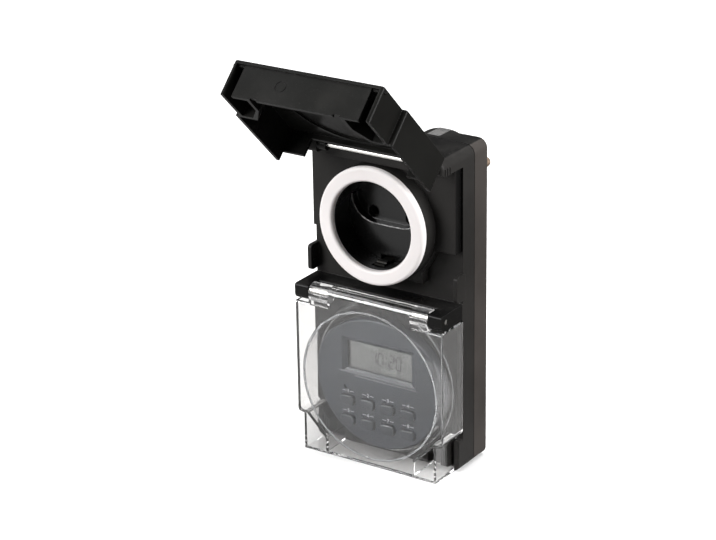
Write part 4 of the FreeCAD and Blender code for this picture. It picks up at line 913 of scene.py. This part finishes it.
class RepeatTree:
    """A Geometry Nodes tree that stands one small shape on each point of a mesh."""

    def __init__(self, name: str, sizes: dict[str, float]) -> None:
        """Starts the tree and its named inputs.

        Args:
            name: The tree's name.
            sizes: Its sizes by name, in metres.
        """
        self.tree = bpy.data.node_groups.new(name, "GeometryNodeTree")
        sockets = self.tree.interface
        sockets.new_socket("Points", in_out="INPUT", socket_type="NodeSocketGeometry")
        for label, value in sizes.items():
            made = sockets.new_socket(label, in_out="INPUT", socket_type="NodeSocketFloat")
            made.default_value = value
        sockets.new_socket("Finish", in_out="INPUT", socket_type="NodeSocketMaterial")
        sockets.new_socket("Geometry", in_out="OUTPUT", socket_type="NodeSocketGeometry")
        self.sizes = sizes
        self.sheet = NodeSheet(self.tree)
        self.entry = self.sheet.add("NodeGroupInput")

    def size(self, label: str, times: float = 1.0) -> Socket:
        """Reads a named size.

        Args:
            label: The size's name.
            times: What it is multiplied by.

        Returns:
            Its socket.
        """
        return self.sheet.sum("MULTIPLY", self.entry.outputs[label], times)

    def vector(self, x: Socket | float, y: Socket | float, z: Socket | float) -> Socket:
        """Puts three values together.

        Args:
            x: The first value.
            y: The second value.
            z: The third value.

        Returns:
            The vector's socket.
        """
        node = self.sheet.add("ShaderNodeCombineXYZ")
        for value, target in zip((x, y, z), node.inputs):
            self.sheet.feed(value, target)
        return node.outputs[0]

    def block(self, x: Socket, y: Socket, z: Socket) -> Socket:
        """Makes a block about the origin.

        Args:
            x: Its width.
            y: Its depth.
            z: Its height.

        Returns:
            Its mesh socket.
        """
        node = self.sheet.add("GeometryNodeMeshCube")
        self.sheet.join(self.vector(x, y, z), node.inputs["Size"])
        return node.outputs["Mesh"]

    def drum(self, radius: Socket, top: Socket, depth: Socket, sides: int) -> Socket:
        """Makes an upright cone with a flat top, standing on the origin along Z.

        Args:
            radius: Its lower radius.
            top: Its upper radius.
            depth: Its height.
            sides: How many sides it has.

        Returns:
            Its mesh socket.
        """
        node = self.sheet.add("GeometryNodeMeshCone")
        node.inputs["Vertices"].default_value = sides
        self.sheet.join(top, node.inputs["Radius Top"])
        self.sheet.join(radius, node.inputs["Radius Bottom"])
        self.sheet.join(depth, node.inputs["Depth"])
        return node.outputs["Mesh"]

    def moved(self, mesh: Socket, x: Socket | float, y: Socket | float, z: Socket | float) -> Socket:
        """Moves a shape.

        Args:
            mesh: The shape.
            x: How far along X.
            y: How far along Y.
            z: How far along Z.

        Returns:
            The moved shape's socket.
        """
        node = self.sheet.add("GeometryNodeTransform")
        self.sheet.join(mesh, node.inputs["Geometry"])
        self.sheet.join(self.vector(x, y, z), node.inputs["Translation"])
        return node.outputs["Geometry"]

    def together(self, *meshes: Socket) -> Socket:
        """Joins shapes into one.

        Args:
            meshes: The shapes.

        Returns:
            The joined shape's socket.
        """
        node = self.sheet.add("GeometryNodeJoinGeometry")
        for mesh in meshes:
            self.sheet.join(mesh, node.inputs[0])
        return node.outputs[0]

    def cut(self, mesh: Socket, cutter: Socket) -> Socket:
        """Takes one shape away from another.

        Args:
            mesh: The shape.
            cutter: What is taken away.

        Returns:
            What is left.
        """
        node = self.sheet.add("GeometryNodeMeshBoolean", operation="DIFFERENCE", solver="EXACT")
        self.sheet.join(mesh, node.inputs["Mesh 1"])
        self.sheet.join(cutter, node.inputs["Mesh 2"])
        return node.outputs["Mesh"]

    def repeat(self, shape: Socket) -> None:
        """Ends the tree: the shape on every point, as real mesh with its finish.

        Args:
            shape: The shape that repeats.
        """
        spread = self.sheet.add("GeometryNodeInstanceOnPoints")
        self.sheet.join(self.entry.outputs["Points"], spread.inputs["Points"])
        self.sheet.join(shape, spread.inputs["Instance"])
        for label, target in (("turn", "Rotation"), ("stretch", "Scale")):
            read = self.sheet.add("GeometryNodeInputNamedAttribute", data_type="FLOAT_VECTOR")
            read.inputs["Name"].default_value = label
            self.sheet.join(read.outputs[0], spread.inputs[target])
        real = self.sheet.add("GeometryNodeRealizeInstances")
        self.sheet.join(spread.outputs[0], real.inputs[0])
        paint = self.sheet.add("GeometryNodeSetMaterial")
        self.sheet.join(real.outputs[0], paint.inputs["Geometry"])
        self.sheet.join(self.entry.outputs["Finish"], paint.inputs["Material"])
        leave = self.sheet.add("NodeGroupOutput")
        self.sheet.join(paint.outputs[0], leave.inputs[0])

    def grow(self, name: str, places: list[Place], finish: Finish) -> bpy.types.Object:
        """Runs the tree on some points and keeps the plain mesh.

        Args:
            name: The piece's name.
            places: Where the shape stands.
            finish: What it is made of.

        Returns:
            The piece.
        """
        points = bpy.data.meshes.new(name)
        points.from_pydata([place.at for place in places], [], [])
        for label in ("turn", "stretch"):
            made = points.attributes.new(label, "FLOAT_VECTOR", "POINT")
            for row, place in zip(made.data, places):
                row.vector = getattr(place, label)
        piece = bpy.data.objects.new(name, points)
        bpy.context.scene.collection.objects.link(piece)
        modifier = piece.modifiers.new("Repeat", "NODES")
        modifier.node_group = self.tree
        wanted = {**self.sizes, "Finish": finish.material()}
        for socket in self.tree.interface.items_tree:
            if socket.in_out == "INPUT" and socket.name in wanted:
                modifier[socket.identifier] = wanted[socket.name]
        seen = piece.evaluated_get(bpy.context.evaluated_depsgraph_get())
        mesh = bpy.data.meshes.new_from_object(seen)
        piece.modifiers.remove(modifier)
        piece.data = mesh
        mesh.name = name
        mesh.materials.clear()
        mesh.materials.append(finish.material())
        mesh.polygons.foreach_set("material_index", [0] * len(mesh.polygons))
        bpy.data.meshes.remove(points)
        smooth(mesh)
        return piece


def smooth(mesh: bpy.types.Mesh) -> None:
    """Shades a mesh smoothly, with its corners kept sharp."""
    mesh.shade_smooth()
    mesh.set_sharp_from_angle(angle=SHARP_ANGLE)


def piece_of(name: str, mesh: bmesh.types.BMesh, finish: Finish) -> bpy.types.Object:
    """Turns a built mesh into a piece of the scene.

    Args:
        name: The piece's name.
        mesh: Its mesh, in place.
        finish: What it is made of.

    Returns:
        The piece.
    """
    bmesh.ops.remove_doubles(mesh, verts=mesh.verts, dist=SAME_PLACE)
    bmesh.ops.recalc_face_normals(mesh, faces=mesh.faces)
    # Blender fills figures in an order that changes from run to run, so the faces are put in a fixed one
    mesh.faces.sort(key=lambda face: face.calc_center_median().dot(FACE_ORDER))
    data = bpy.data.meshes.new(name)
    mesh.to_mesh(data)
    mesh.free()
    data.materials.append(finish.material())
    smooth(data)
    piece = bpy.data.objects.new(name, data)
    bpy.context.scene.collection.objects.link(piece)
    return piece


def settle(piece: bpy.types.Object, body: Body) -> bpy.types.Object:
    """Makes a piece ride on its body, and reports it.

    Args:
        piece: The piece.
        body: What it moves with.

    Returns:
        The piece.
    """
    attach(piece, body.value)
    LOG.info("%s rides on %s with %d faces", piece.name, body.value, len(piece.data.polygons))
    return piece


def bar(mesh: bmesh.types.BMesh, low: Vector, high: Vector, round_off: float) -> None:
    """Adds a bar with rounded edges to a mesh.

    Args:
        mesh: The mesh to add to.
        low: Its lowest corner.
        high: Its highest corner.
        round_off: The radius of its edges.
    """
    made = bmesh.ops.create_cube(mesh, size=1.0)
    corners = made["verts"]
    bmesh.ops.scale(mesh, vec=high - low, verts=corners)
    bmesh.ops.translate(mesh, vec=(low + high) / 2, verts=corners)
    edges = list(dict.fromkeys(edge for corner in corners for edge in corner.link_edges))
    bmesh.ops.bevel(mesh, geom=edges, offset=round_off, segments=2, affect="EDGES", profile=0.5)


def turned(centre: Vector, outline: tuple[tuple[float, float], ...], steps: int = 128) -> bmesh.types.BMesh:
    """Turns a closed outline about an axis that runs from front to back.

    Args:
        centre: A point on the axis.
        outline: The outline's corners, each as its radius and its depth behind the centre.
        steps: How many flats the turn has.

    Returns:
        The closed ring.
    """
    ring = bmesh.new()
    rows = []
    for step in range(steps):
        angle = 2 * math.pi * step / steps
        outward = Vector((math.cos(angle), 0.0, math.sin(angle)))
        corners = [centre + outward * radius + Vector((0.0, depth, 0.0)) for radius, depth in outline]
        rows.append([ring.verts.new(corner) for corner in corners])
    for step, row in enumerate(rows):
        following = rows[(step + 1) % steps]
        for place in range(len(outline)):
            after = (place + 1) % len(outline)
            ring.faces.new((row[place], row[after], following[after], following[place]))
    return ring


def dress(node: str, finish: Finish) -> None:
    """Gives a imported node's own mesh a finish.

    Args:
        node: The node's name.
        finish: What it is made of.
    """
    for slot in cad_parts[node].material_slots:
        slot.material = finish.material()
    LOG.info("%s is dressed in %s", node, finish.name)


@dataclass
class Housing:
    """The two shells, their screws and seal, and the plug behind them."""

    head_radius: float = 2.8 * MM
    crown_radius: float = 1.9 * MM
    head_height: float = 1.0 * MM
    head_sides: int = 40
    head_sink: float = 0.02 * MM
    slot_width: float = 0.9 * MM
    slot_length: float = 3.6 * MM
    slot_height_share: float = 1.6
    slot_lift_share: float = 1.1
    shank_end: float = 0.05 * MM

    def screw_centres(self) -> list[Vector]:
        """Finds the middle of each screw head's outer face.

        Returns:
            One point for each housing screw.
        """
        low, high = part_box("housing_screws")
        middle = (low + high) / 2
        corners: dict[tuple[bool, bool], list[Vector]] = {}
        for point in (vertex.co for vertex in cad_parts["housing_screws"].data.vertices):
            if point.y > high.y - self.shank_end:
                corners.setdefault((point.x > middle.x, point.z > middle.z), []).append(point)
        return [sum(points, Vector()) / len(points) for points in corners.values()]

    def screw_heads(self) -> bpy.types.Object:
        """Makes the domed heads with a cross recess that lie in the rear shell's wells.

        Returns:
            The piece.
        """
        tree = RepeatTree(
            "Screw heads",
            {"Radius": self.head_radius, "Crown": self.crown_radius, "Height": self.head_height,
             "Slot": self.slot_width, "Length": self.slot_length},
        )
        head = tree.drum(tree.size("Radius"), tree.size("Crown"), tree.size("Height"), self.head_sides)
        for wide, high in (("Length", "Slot"), ("Slot", "Length")):
            slot = tree.block(tree.size(wide), tree.size(high), tree.size("Height", self.slot_height_share))
            head = tree.cut(head, tree.moved(slot, 0.0, 0.0, tree.size("Height", self.slot_lift_share)))
        tree.repeat(head)
        sunk = Vector((0.0, self.head_sink, 0.0))
        places = [Place(centre - sunk, FACING_BACK) for centre in self.screw_centres()]
        return settle(tree.grow("housing_screw_heads", places, PLATED_STEEL), Body.HOUSING)

    def build(self) -> None:
        """Dresses the shells and the plug, and adds the screw heads."""
        for node in ("front_shell", "cover_catch_left", "cover_catch_right"):
            dress(node, HOUSING_BLACK)
        dress("rear_shell", REAR_BLACK)
        dress("plug_neck", PLUG_BLACK)
        for node in ("seam_seal", "cover_seal"):
            dress(node, RUBBER_BLACK)
        for node in ("line_pin", "neutral_pin"):
            dress(node, PIN_BRASS)
        self.screw_heads()


@dataclass
class Outlet:
    """The socket: its recess, contacts and the white sealing ring."""

    def build(self) -> None:
        """Dresses the recess, the ring and the contacts."""
        dress("socket_well", WELL_BLACK)
        dress("socket_insert", INSERT_BLACK)
        dress("sealing_ring", SEAL_WHITE)
        # The contacts are painted near-black as painted shade
        for node in ("socket_earth_clips", "line_contact", "neutral_contact"):
            dress(node, SHADED_DULL_STEEL)


@dataclass
class Flap:
    """The black flap over the socket, and the steel rod that it turns on."""

    def build(self) -> None:
        """Dresses the flap and its rod."""
        dress("socket_flap", FLAP_BLACK)
        dress("flap_hinge_rod", ROD_STEEL)


@dataclass
class ClearCover:
    """The clear cover over the timer, and its two hinge pins."""

    skirt_radius: float = 34.8 * MM
    skirt_wall: float = 1.2 * MM
    plate: float = 1.6 * MM
    timer_height: float = -80.7 * MM
    rim: float = -52.7 * MM
    line_thickness: float = 0.3 * MM
    line_inner_share: float = 0.75
    line_outer_share: float = 0.25

    def skirt_line(self, name: str, depth: float) -> bpy.types.Object:
        """Makes a pale line round the skirt, inside its clear wall, where the light gathers.

        Args:
            name: The piece's name.
            depth: Where it lies along Y.

        Returns:
            The piece.
        """
        inner = self.skirt_radius - self.skirt_wall * self.line_inner_share
        outer = self.skirt_radius - self.skirt_wall * self.line_outer_share
        half = self.line_thickness / 2
        outline = ((inner, -half), (outer, -half), (outer, half), (inner, half))
        ring = turned(Vector((0.0, depth, self.timer_height)), outline)
        return settle(piece_of(name, ring, LIT_EDGE), Body.COVER)

    def build(self) -> None:
        """Dresses the cover and its pins."""
        dress("clear_cover", COVER_CLEAR)
        dress("cover_hinge_pins", ROD_STEEL)
        self.skirt_line("cover_skirt_root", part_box("clear_cover")[0].y + self.plate)
        self.skirt_line("cover_skirt_rim", self.rim - self.line_thickness)


@dataclass(frozen=True)
class SillLine:
    """One fine line under the display window, measured from the window's lower corners in millimetres."""

    top: float
    bottom: float
    left: float
    right: float


UPPER_SILL = SillLine(top=-0.1, bottom=0.55, left=1.6, right=1.4)
LOWER_SILL = SillLine(top=1.15, bottom=1.7, left=-6.0, right=2.2)


@dataclass
class Timer:
    """The timer's face, its display with a plain time, its keys and their numbers."""

    shown: str = "10:20"
    digit_width: float = 2.5 * MM
    digit_height: float = 6.0 * MM
    digit_pitch: float = 3.7 * MM
    colon_pitch: float = 1.9 * MM
    stroke: float = 0.75 * MM
    lean: float = 0.06
    shown_middle: float = 2.6 * MM
    film: float = 0.05 * MM
    print_height: float = 1.6 * MM
    print_bold: float = 0.07 * MM
    print_share: float = 0.7
    print_gap: float = 0.35 * MM
    dash_length: float = 2.1 * MM
    dash_width: float = 0.3 * MM
    dash_start: float = 0.9 * MM
    stroke_fill: float = 0.86
    stroke_full_share: float = 0.78
    stroke_tip_share: float = 0.45
    sill_rise: float = 0.35 * MM
    sill_sink: float = 0.1 * MM
    sill_round: float = 0.15 * MM
    sill_lines: tuple[SillLine, ...] = (UPPER_SILL, LOWER_SILL)

    def segment_places(self) -> list[Place]:
        """Works out where the strokes of the shown time lie.

        Returns:
            One place for each lit stroke and each dot of the colon.
        """
        lit = {"0": "abcdef", "1": "bc", "2": "abdeg", "3": "abcdg", "4": "bcfg",
               "5": "acdfg", "6": "acdefg", "7": "abc", "8": "abcdefg", "9": "abcdfg"}
        half = self.digit_height / 2
        side = self.digit_width / 2
        strokes = {"a": (0.0, half, False), "g": (0.0, 0.0, False), "d": (0.0, -half, False),
                   "f": (-side, half / 2, True), "b": (side, half / 2, True),
                   "e": (-side, -half / 2, True), "c": (side, -half / 2, True)}
        low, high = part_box("display_window")
        middle = (low.z + high.z) / 2
        pitches = [self.colon_pitch if sign == ":" else self.digit_pitch for sign in self.shown]
        x = self.shown_middle - sum(pitches) / 2
        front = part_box("display_panel")[0].y - self.film / 2
        places = []
        for sign, pitch in zip(self.shown, pitches):
            centre = x + pitch / 2
            x += pitch
            if sign == ":":
                for z in (-half / 2, half / 2):
                    dot = Vector((self.stroke / self.digit_width, 1.0, 1.0))
                    places.append(Place(Vector((centre + self.lean * z, front, middle + z)), stretch=dot))
                continue
            for name in lit[sign]:
                across, up, upright = strokes[name]
                at = Vector((centre + across + self.lean * up, front, middle + up))
                long = half if upright else self.digit_width
                turn = Vector((0.0, math.radians(90) + self.lean if upright else 0.0, 0.0))
                stretch = Vector((long / self.digit_width * self.stroke_fill, 1.0, 1.0))
                places.append(Place(at, turn, stretch))
        return places

    def segments(self) -> bpy.types.Object:
        """Lays the strokes of the shown time on the display panel.

        Returns:
            The piece.
        """
        sizes = {"Length": self.digit_width, "Stroke": self.stroke, "Film": self.film}
        tree = RepeatTree("Display strokes", sizes)
        full, tip = tree.size("Length", self.stroke_full_share), tree.size("Stroke", self.stroke_tip_share)
        middle = tree.block(full, tree.size("Film"), tree.size("Stroke"))
        ends = tree.block(tree.size("Length"), tree.size("Film"), tip)
        tree.repeat(tree.together(middle, ends))
        strokes = tree.grow("display_strokes", self.segment_places(), SEGMENT_DARK)
        return settle(strokes, Body.HOUSING)

    def letters(self, text: str, height: float) -> bpy.types.Mesh:
        """Makes a thin printed figure, upright and facing the front.

        Args:
            text: The figure.
            height: How high its letters stand.

        Returns:
            Its mesh, about the origin.
        """
        curve = bpy.data.curves.new(f"print_{text}", "FONT")
        curve.body = text
        curve.size = height / self.print_share
        curve.extrude = self.film / 2
        curve.offset = self.print_bold
        curve.align_x = "CENTER"
        curve.align_y = "CENTER"
        writer = bpy.data.objects.new(f"print_{text}", curve)
        bpy.context.scene.collection.objects.link(writer)
        mesh = bpy.data.meshes.new_from_object(writer.evaluated_get(bpy.context.evaluated_depsgraph_get()))
        bpy.data.objects.remove(writer)
        bpy.data.curves.remove(curve)
        mesh.transform(Matrix.Rotation(math.radians(90), 4, "X"))
        return mesh

    def key_numbers(self) -> bpy.types.Object:
        """Prints a plain number between two dashes above each key.

        Returns:
            The piece.
        """
        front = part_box("timer_face")[0].y
        printed = bmesh.new()
        for number in KEYS:
            low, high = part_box(f"key_{number}")
            middle = (low.x + high.x) / 2
            height = high.z + self.print_gap + self.print_height / 2
            figure = self.letters(str(number), self.print_height)
            figure.transform(Matrix.Translation((middle, front - self.film / 2, height)))
            printed.from_mesh(figure)
            bpy.data.meshes.remove(figure)
            for side in (-1.0, 1.0):
                across = middle + side * (self.dash_start + self.dash_length / 2)
                half = Vector((self.dash_length / 2, self.film / 2, self.dash_width / 2))
                centre = Vector((across, front - self.film / 2, height))
                bar(printed, centre - half, centre + half, self.film / 3)
        return settle(piece_of("key_numbers", printed, PRINT_PALE), Body.HOUSING)

    def sill(self) -> bpy.types.Object:
        """Makes the two fine raised lines under the display window, pale as a painted highlight on a ledge's
        edges.

        Returns:
            The piece.
        """
        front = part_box("timer_face")[0].y
        low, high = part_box("display_window")
        lines = bmesh.new()
        for line in self.sill_lines:
            lowest = Vector((low.x - line.left * MM, front - self.sill_rise, low.z - line.bottom * MM))
            highest = Vector((high.x + line.right * MM, front + self.sill_sink, low.z - line.top * MM))
            bar(lines, lowest, highest, self.sill_round)
        return settle(piece_of("window_sill", lines, SILL_GREY), Body.HOUSING)

    def build(self) -> None:
        """Dresses the face, the display and the keys, and adds what is printed on them."""
        for node in ("timer_face", "display_frame"):
            dress(node, FACE_GREY)
        for number in KEYS:
            dress(f"key_{number}", KEY_GREY)
        dress("reset_plunger", KEY_GREY)
        dress("display_window", LENS_CLEAR)
        dress("display_panel", PANEL_GLASS)
        self.segments()
        self.key_numbers()
        self.sill()


@dataclass(frozen=True)
class LegBend:
    """One straight part of a chip's leg, as shares of the leg's width."""

    long: float
    deep: float
    out: float
    behind: float


SHOULDER = LegBend(long=1.6, deep=0.5, out=0.6, behind=1.6)
SHIN = LegBend(long=0.5, deep=1.6, out=1.4, behind=0.9)
SOLE = LegBend(long=2.2, deep=0.5, out=2.3, behind=0.3)


@dataclass
class Inside:
    """The boards and what stands on them, with their solder and the chip's legs."""

    joint_radius: float = 0.9 * MM
    joint_height: float = 0.6 * MM
    joint_count: int = 46
    joint_sides: int = 14
    joint_sink: float = 0.02 * MM
    joint_growth: tuple[float, float] = (0.8, 1.1)
    neck_share: float = 0.45
    foot_share: float = 0.6
    tip_share: float = 0.15
    tip_height_share: float = 0.4
    grid: float = 2.54 * MM
    side_margin: float = 4.0 * MM
    end_margin: float = 6.0 * MM
    screw_line: float = 25.0 * MM
    screw_room: float = 6.0 * MM
    leg_width: float = 0.3 * MM
    leg_pitch: float = 0.9 * MM
    leg_bends: tuple[LegBend, ...] = (SHOULDER, SHIN, SOLE)
    corner_room: float = 2.0 * MM
    seed: int = 7

    def solder_joints(self) -> bpy.types.Object:
        """Sets small domes of solder on the back of the power board.

        Returns:
            The piece.
        """
        low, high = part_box("power_board")
        picker = random.Random(self.seed)
        across = int((high.x - low.x - 2 * self.side_margin) / self.grid)
        up = int((high.z - low.z - 2 * self.end_margin) / self.grid)
        cells = [(column, row) for column in range(across) for row in range(up)]
        places = []
        for column, row in picker.sample(cells, self.joint_count):
            x = low.x + self.side_margin + column * self.grid
            z = low.z + self.end_margin + row * self.grid
            if abs(abs(x) - self.screw_line) < self.screw_room:
                continue
            grown = picker.uniform(*self.joint_growth)
            at = Vector((x, high.y - self.joint_sink, z))
            places.append(Place(at, FACING_BACK, Vector((grown, grown, grown))))
        tree = RepeatTree("Solder joints", {"Radius": self.joint_radius, "Height": self.joint_height})
        neck, point = tree.size("Radius", self.neck_share), tree.size("Radius", self.tip_share)
        foot_height = tree.size("Height", self.foot_share)
        foot = tree.drum(tree.size("Radius"), neck, foot_height, self.joint_sides)
        tip = tree.drum(neck, point, tree.size("Height", self.tip_height_share), self.joint_sides)
        tree.repeat(tree.together(foot, tree.moved(tip, 0.0, 0.0, foot_height)))
        return settle(tree.grow("solder_joints", places, SOLDER_TIN), Body.HOUSING)

    def chip_legs(self) -> bpy.types.Object:
        """Sets the timer chip's legs along its four sides.

        Returns:
            The piece.
        """
        low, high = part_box("timer_chip")
        middle = (low + high) / 2
        edge = (high.x - low.x) / 2
        places = []
        count = int((high.x - low.x - self.corner_room) / self.leg_pitch)
        for step in range(count + 1):
            along = (step - count / 2) * self.leg_pitch
            for side in range(4):
                angle = math.radians(90 * side)
                outward = Vector((math.cos(angle), 0.0, math.sin(angle)))
                sideways = Vector((-math.sin(angle), 0.0, math.cos(angle)))
                at = Vector((middle.x, low.y, middle.z)) + outward * edge + sideways * along
                places.append(Place(at, Vector((0.0, -angle, 0.0))))
        tree = RepeatTree("Chip legs", {"Width": self.leg_width})
        width = tree.size("Width")
        bends = []
        for bend in self.leg_bends:
            part = tree.block(tree.size("Width", bend.long), tree.size("Width", bend.deep), width)
            out, behind = tree.size("Width", bend.out), tree.size("Width", bend.behind)
            bends.append(tree.moved(part, out, behind, 0.0))
        tree.repeat(tree.together(*bends))
        return settle(tree.grow("chip_legs", places, SOLDER_TIN), Body.HOUSING)

    def build(self) -> None:
        """Adds the solder and the legs; the parts themselves are dressed by their slots."""
        self.solder_joints()
        self.chip_legs()


@dataclass(frozen=True)
class Lamp:
    """One soft square lamp: where it hangs, the length of its side and its power in watts."""

    name: str
    at: Triple
    size: float
    power: float


LAMPS = (
    Lamp("Overhead", (0.0, 0.5, 1.7), 1.6, 34.0),
    Lamp("Front left", (-0.9, -1.6, 0.7), 0.9, 46.0),
    Lamp("Right", (1.7, 0.3, 0.6), 1.0, 53.0),
    Lamp("Top left", (-0.8, -0.6, 1.2), 0.5, 4.0),
)


@dataclass
class Studio:
    """The floor, the lamps and the camera."""

    azimuth: float = math.radians(33.99)
    elevation: float = math.radians(21.76)
    roll: float = math.radians(-0.95)
    distance: float = 1.0
    target: Vector = field(default_factory=lambda: Vector((-6.45, -62.4, -28.2)) * MM)
    focal: float = 2341.0
    picture_width: float = 716.0
    sensor: float = 36.0
    floor_radius: float = 1.3
    floor_sides: int = 96
    floor_drop: float = 0.05 * MM
    floor_seen: Colour = (0.95, 0.95, 0.95)
    floor_lighting: Colour = (0.13, 0.125, 0.12)
    world_seen: Colour = (1.0, 1.0, 1.0)
    world_lighting: Colour = (0.14, 0.1379, 0.1358)
    mirrored: float = 0.65
    veil_start: float = -0.1
    veil_end: float = 0.05
    lamps: tuple[Lamp, ...] = LAMPS
    lamps_aim: Vector = field(default_factory=lambda: Vector((0.0, -0.05, -0.03)))
    bounces: int = 32
    clear_bounces: int = 24

    def camera(self) -> None:
        """Sets the camera at the photograph's place and angle."""
        back = Vector((
            math.sin(self.azimuth) * math.cos(self.elevation),
            -math.cos(self.azimuth) * math.cos(self.elevation),
            math.sin(self.elevation),
        ))
        data = bpy.data.cameras.new("Camera")
        data.sensor_width = self.sensor
        data.lens = self.focal / self.picture_width * self.sensor
        camera = bpy.data.objects.new("Camera", data)
        bpy.context.scene.collection.objects.link(camera)
        camera.rotation_mode = "QUATERNION"
        camera.location = self.target + back * self.distance
        level = (-back).to_track_quat("-Z", "Y")
        camera.rotation_quaternion = level @ Matrix.Rotation(self.roll, 3, "Z").to_quaternion()
        bpy.context.scene.camera = camera

    def hang(self, lamp: Lamp) -> None:
        """Hangs one lamp.

        Args:
            lamp: The lamp.
        """
        data = bpy.data.lights.new(lamp.name, "AREA")
        data.shape = "SQUARE"
        data.size = lamp.size
        data.energy = lamp.power
        hung = bpy.data.objects.new(lamp.name, data)
        hung.location = lamp.at
        hung.rotation_euler = (self.lamps_aim - Vector(lamp.at)).to_track_quat("-Z", "Y").to_euler()
        bpy.context.scene.collection.objects.link(hung)

    @staticmethod
    def seen(sheet: NodeSheet) -> tuple[Socket, Socket]:
        """Tells the rays apart that meet the studio.

        Args:
            sheet: The tree.

        Returns:
            The masks' sockets: what the camera sees, also through clear walls, and what shines back at it.
        """
        path = sheet.add("ShaderNodeLightPath")
        shown = sheet.sum("MAXIMUM", path.outputs["Is Camera Ray"], path.outputs["Is Transmission Ray"])
        return shown, path.outputs["Is Glossy Ray"]

    @staticmethod
    def two_sided(sheet: NodeSheet, kind: str, seen: Socket, lighting: Colour, shown: Colour) -> Socket:
        """Joins up surroundings that light the object less than they show.

        Args:
            sheet: The tree.
            kind: Blender's name for the kind of shader.
            seen: The mask of the rays that they show to.
            lighting: The colour that lights the object.
            shown: The colour that shows.

        Returns:
            The mixed shader's socket.
        """
        mix = sheet.add("ShaderNodeMixShader")
        sheet.join(seen, mix.inputs[0])
        for colour, target in ((lighting, mix.inputs[1]), (shown, mix.inputs[2])):
            shader = sheet.add(kind)
            shader.inputs["Color"].default_value = (*colour, 1.0)
            sheet.join(shader.outputs[0], target)
        return mix.outputs[0]

    def world(self) -> None:
        """Makes the plain white surroundings."""
        world = bpy.data.worlds.new("Studio")
        bpy.context.scene.world = world
        world.use_nodes = True
        world.node_tree.nodes.clear()
        sheet = NodeSheet(world.node_tree)
        seen = self.seen(sheet)[0]
        mixed = self.two_sided(sheet, "ShaderNodeBackground", seen, self.world_lighting, self.world_seen)
        sheet.join(mixed, sheet.add("ShaderNodeOutputWorld").inputs["Surface"])

    def floor(self, height: float) -> None:
        """Lays a plain pale floor, which mirroring surfaces see only in front of the object.

        Args:
            height: How high it lies.
        """
        disc = bmesh.new()
        bmesh.ops.create_circle(disc, cap_ends=True, segments=self.floor_sides, radius=self.floor_radius)
        bmesh.ops.translate(disc, vec=Vector((0.0, 0.0, height - self.floor_drop)), verts=disc.verts)
        data = bpy.data.meshes.new("Floor")
        disc.to_mesh(data)
        disc.free()
        floor = bpy.data.objects.new("Floor", data)
        bpy.context.scene.collection.objects.link(floor)
        material = bpy.data.materials.new("Pale floor")
        material.use_nodes = True
        material.node_tree.nodes.clear()
        sheet = NodeSheet(material.node_tree)
        seen, glossy = self.seen(sheet)
        depth = sheet.apart(sheet.own_place())[1]
        ahead = sheet.between(depth, self.veil_end, self.veil_start, 0.0, self.mirrored)
        seen = sheet.sum("MAXIMUM", seen, sheet.sum("MULTIPLY", glossy, ahead))
        mixed = self.two_sided(sheet, "ShaderNodeBsdfDiffuse", seen, self.floor_lighting, self.floor_seen)
        sheet.join(mixed, sheet.add("ShaderNodeOutputMaterial").inputs["Surface"])
        data.materials.append(material)
        floor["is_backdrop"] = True

    def build(self, floor_height: float) -> None:
        """Sets up the studio.

        Args:
            floor_height: How high the floor lies.
        """
        self.world()
        for lamp in self.lamps:
            self.hang(lamp)
        self.floor(floor_height)
        self.camera()
        scene = bpy.context.scene
        scene.view_settings.view_transform = "Standard"
        scene.view_settings.look = "None"
        scene.cycles.caustics_refractive = False
        scene.cycles.max_bounces = self.bounces
        scene.cycles.glossy_bounces = self.clear_bounces
        scene.cycles.transmission_bounces = self.clear_bounces
        LOG.info("The studio stands with its floor at %.4f m", floor_height)


def main() -> None:
    """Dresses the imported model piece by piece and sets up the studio."""
    logging.basicConfig(level=logging.INFO, format="%(name)s: %(message)s")
    cad_low, cad_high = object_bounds()
    for node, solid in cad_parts.items():
        for slot in solid.material_slots:
            slot.material = SLOT_FINISHES[slot.material.name.split(".")[0]].material()
    for part in (Housing(), Outlet(), Flap(), ClearCover(), Timer(), Inside()):
        part.build()
    Studio().build(cad_low.z)


if __name__ == "__main__":
    main()
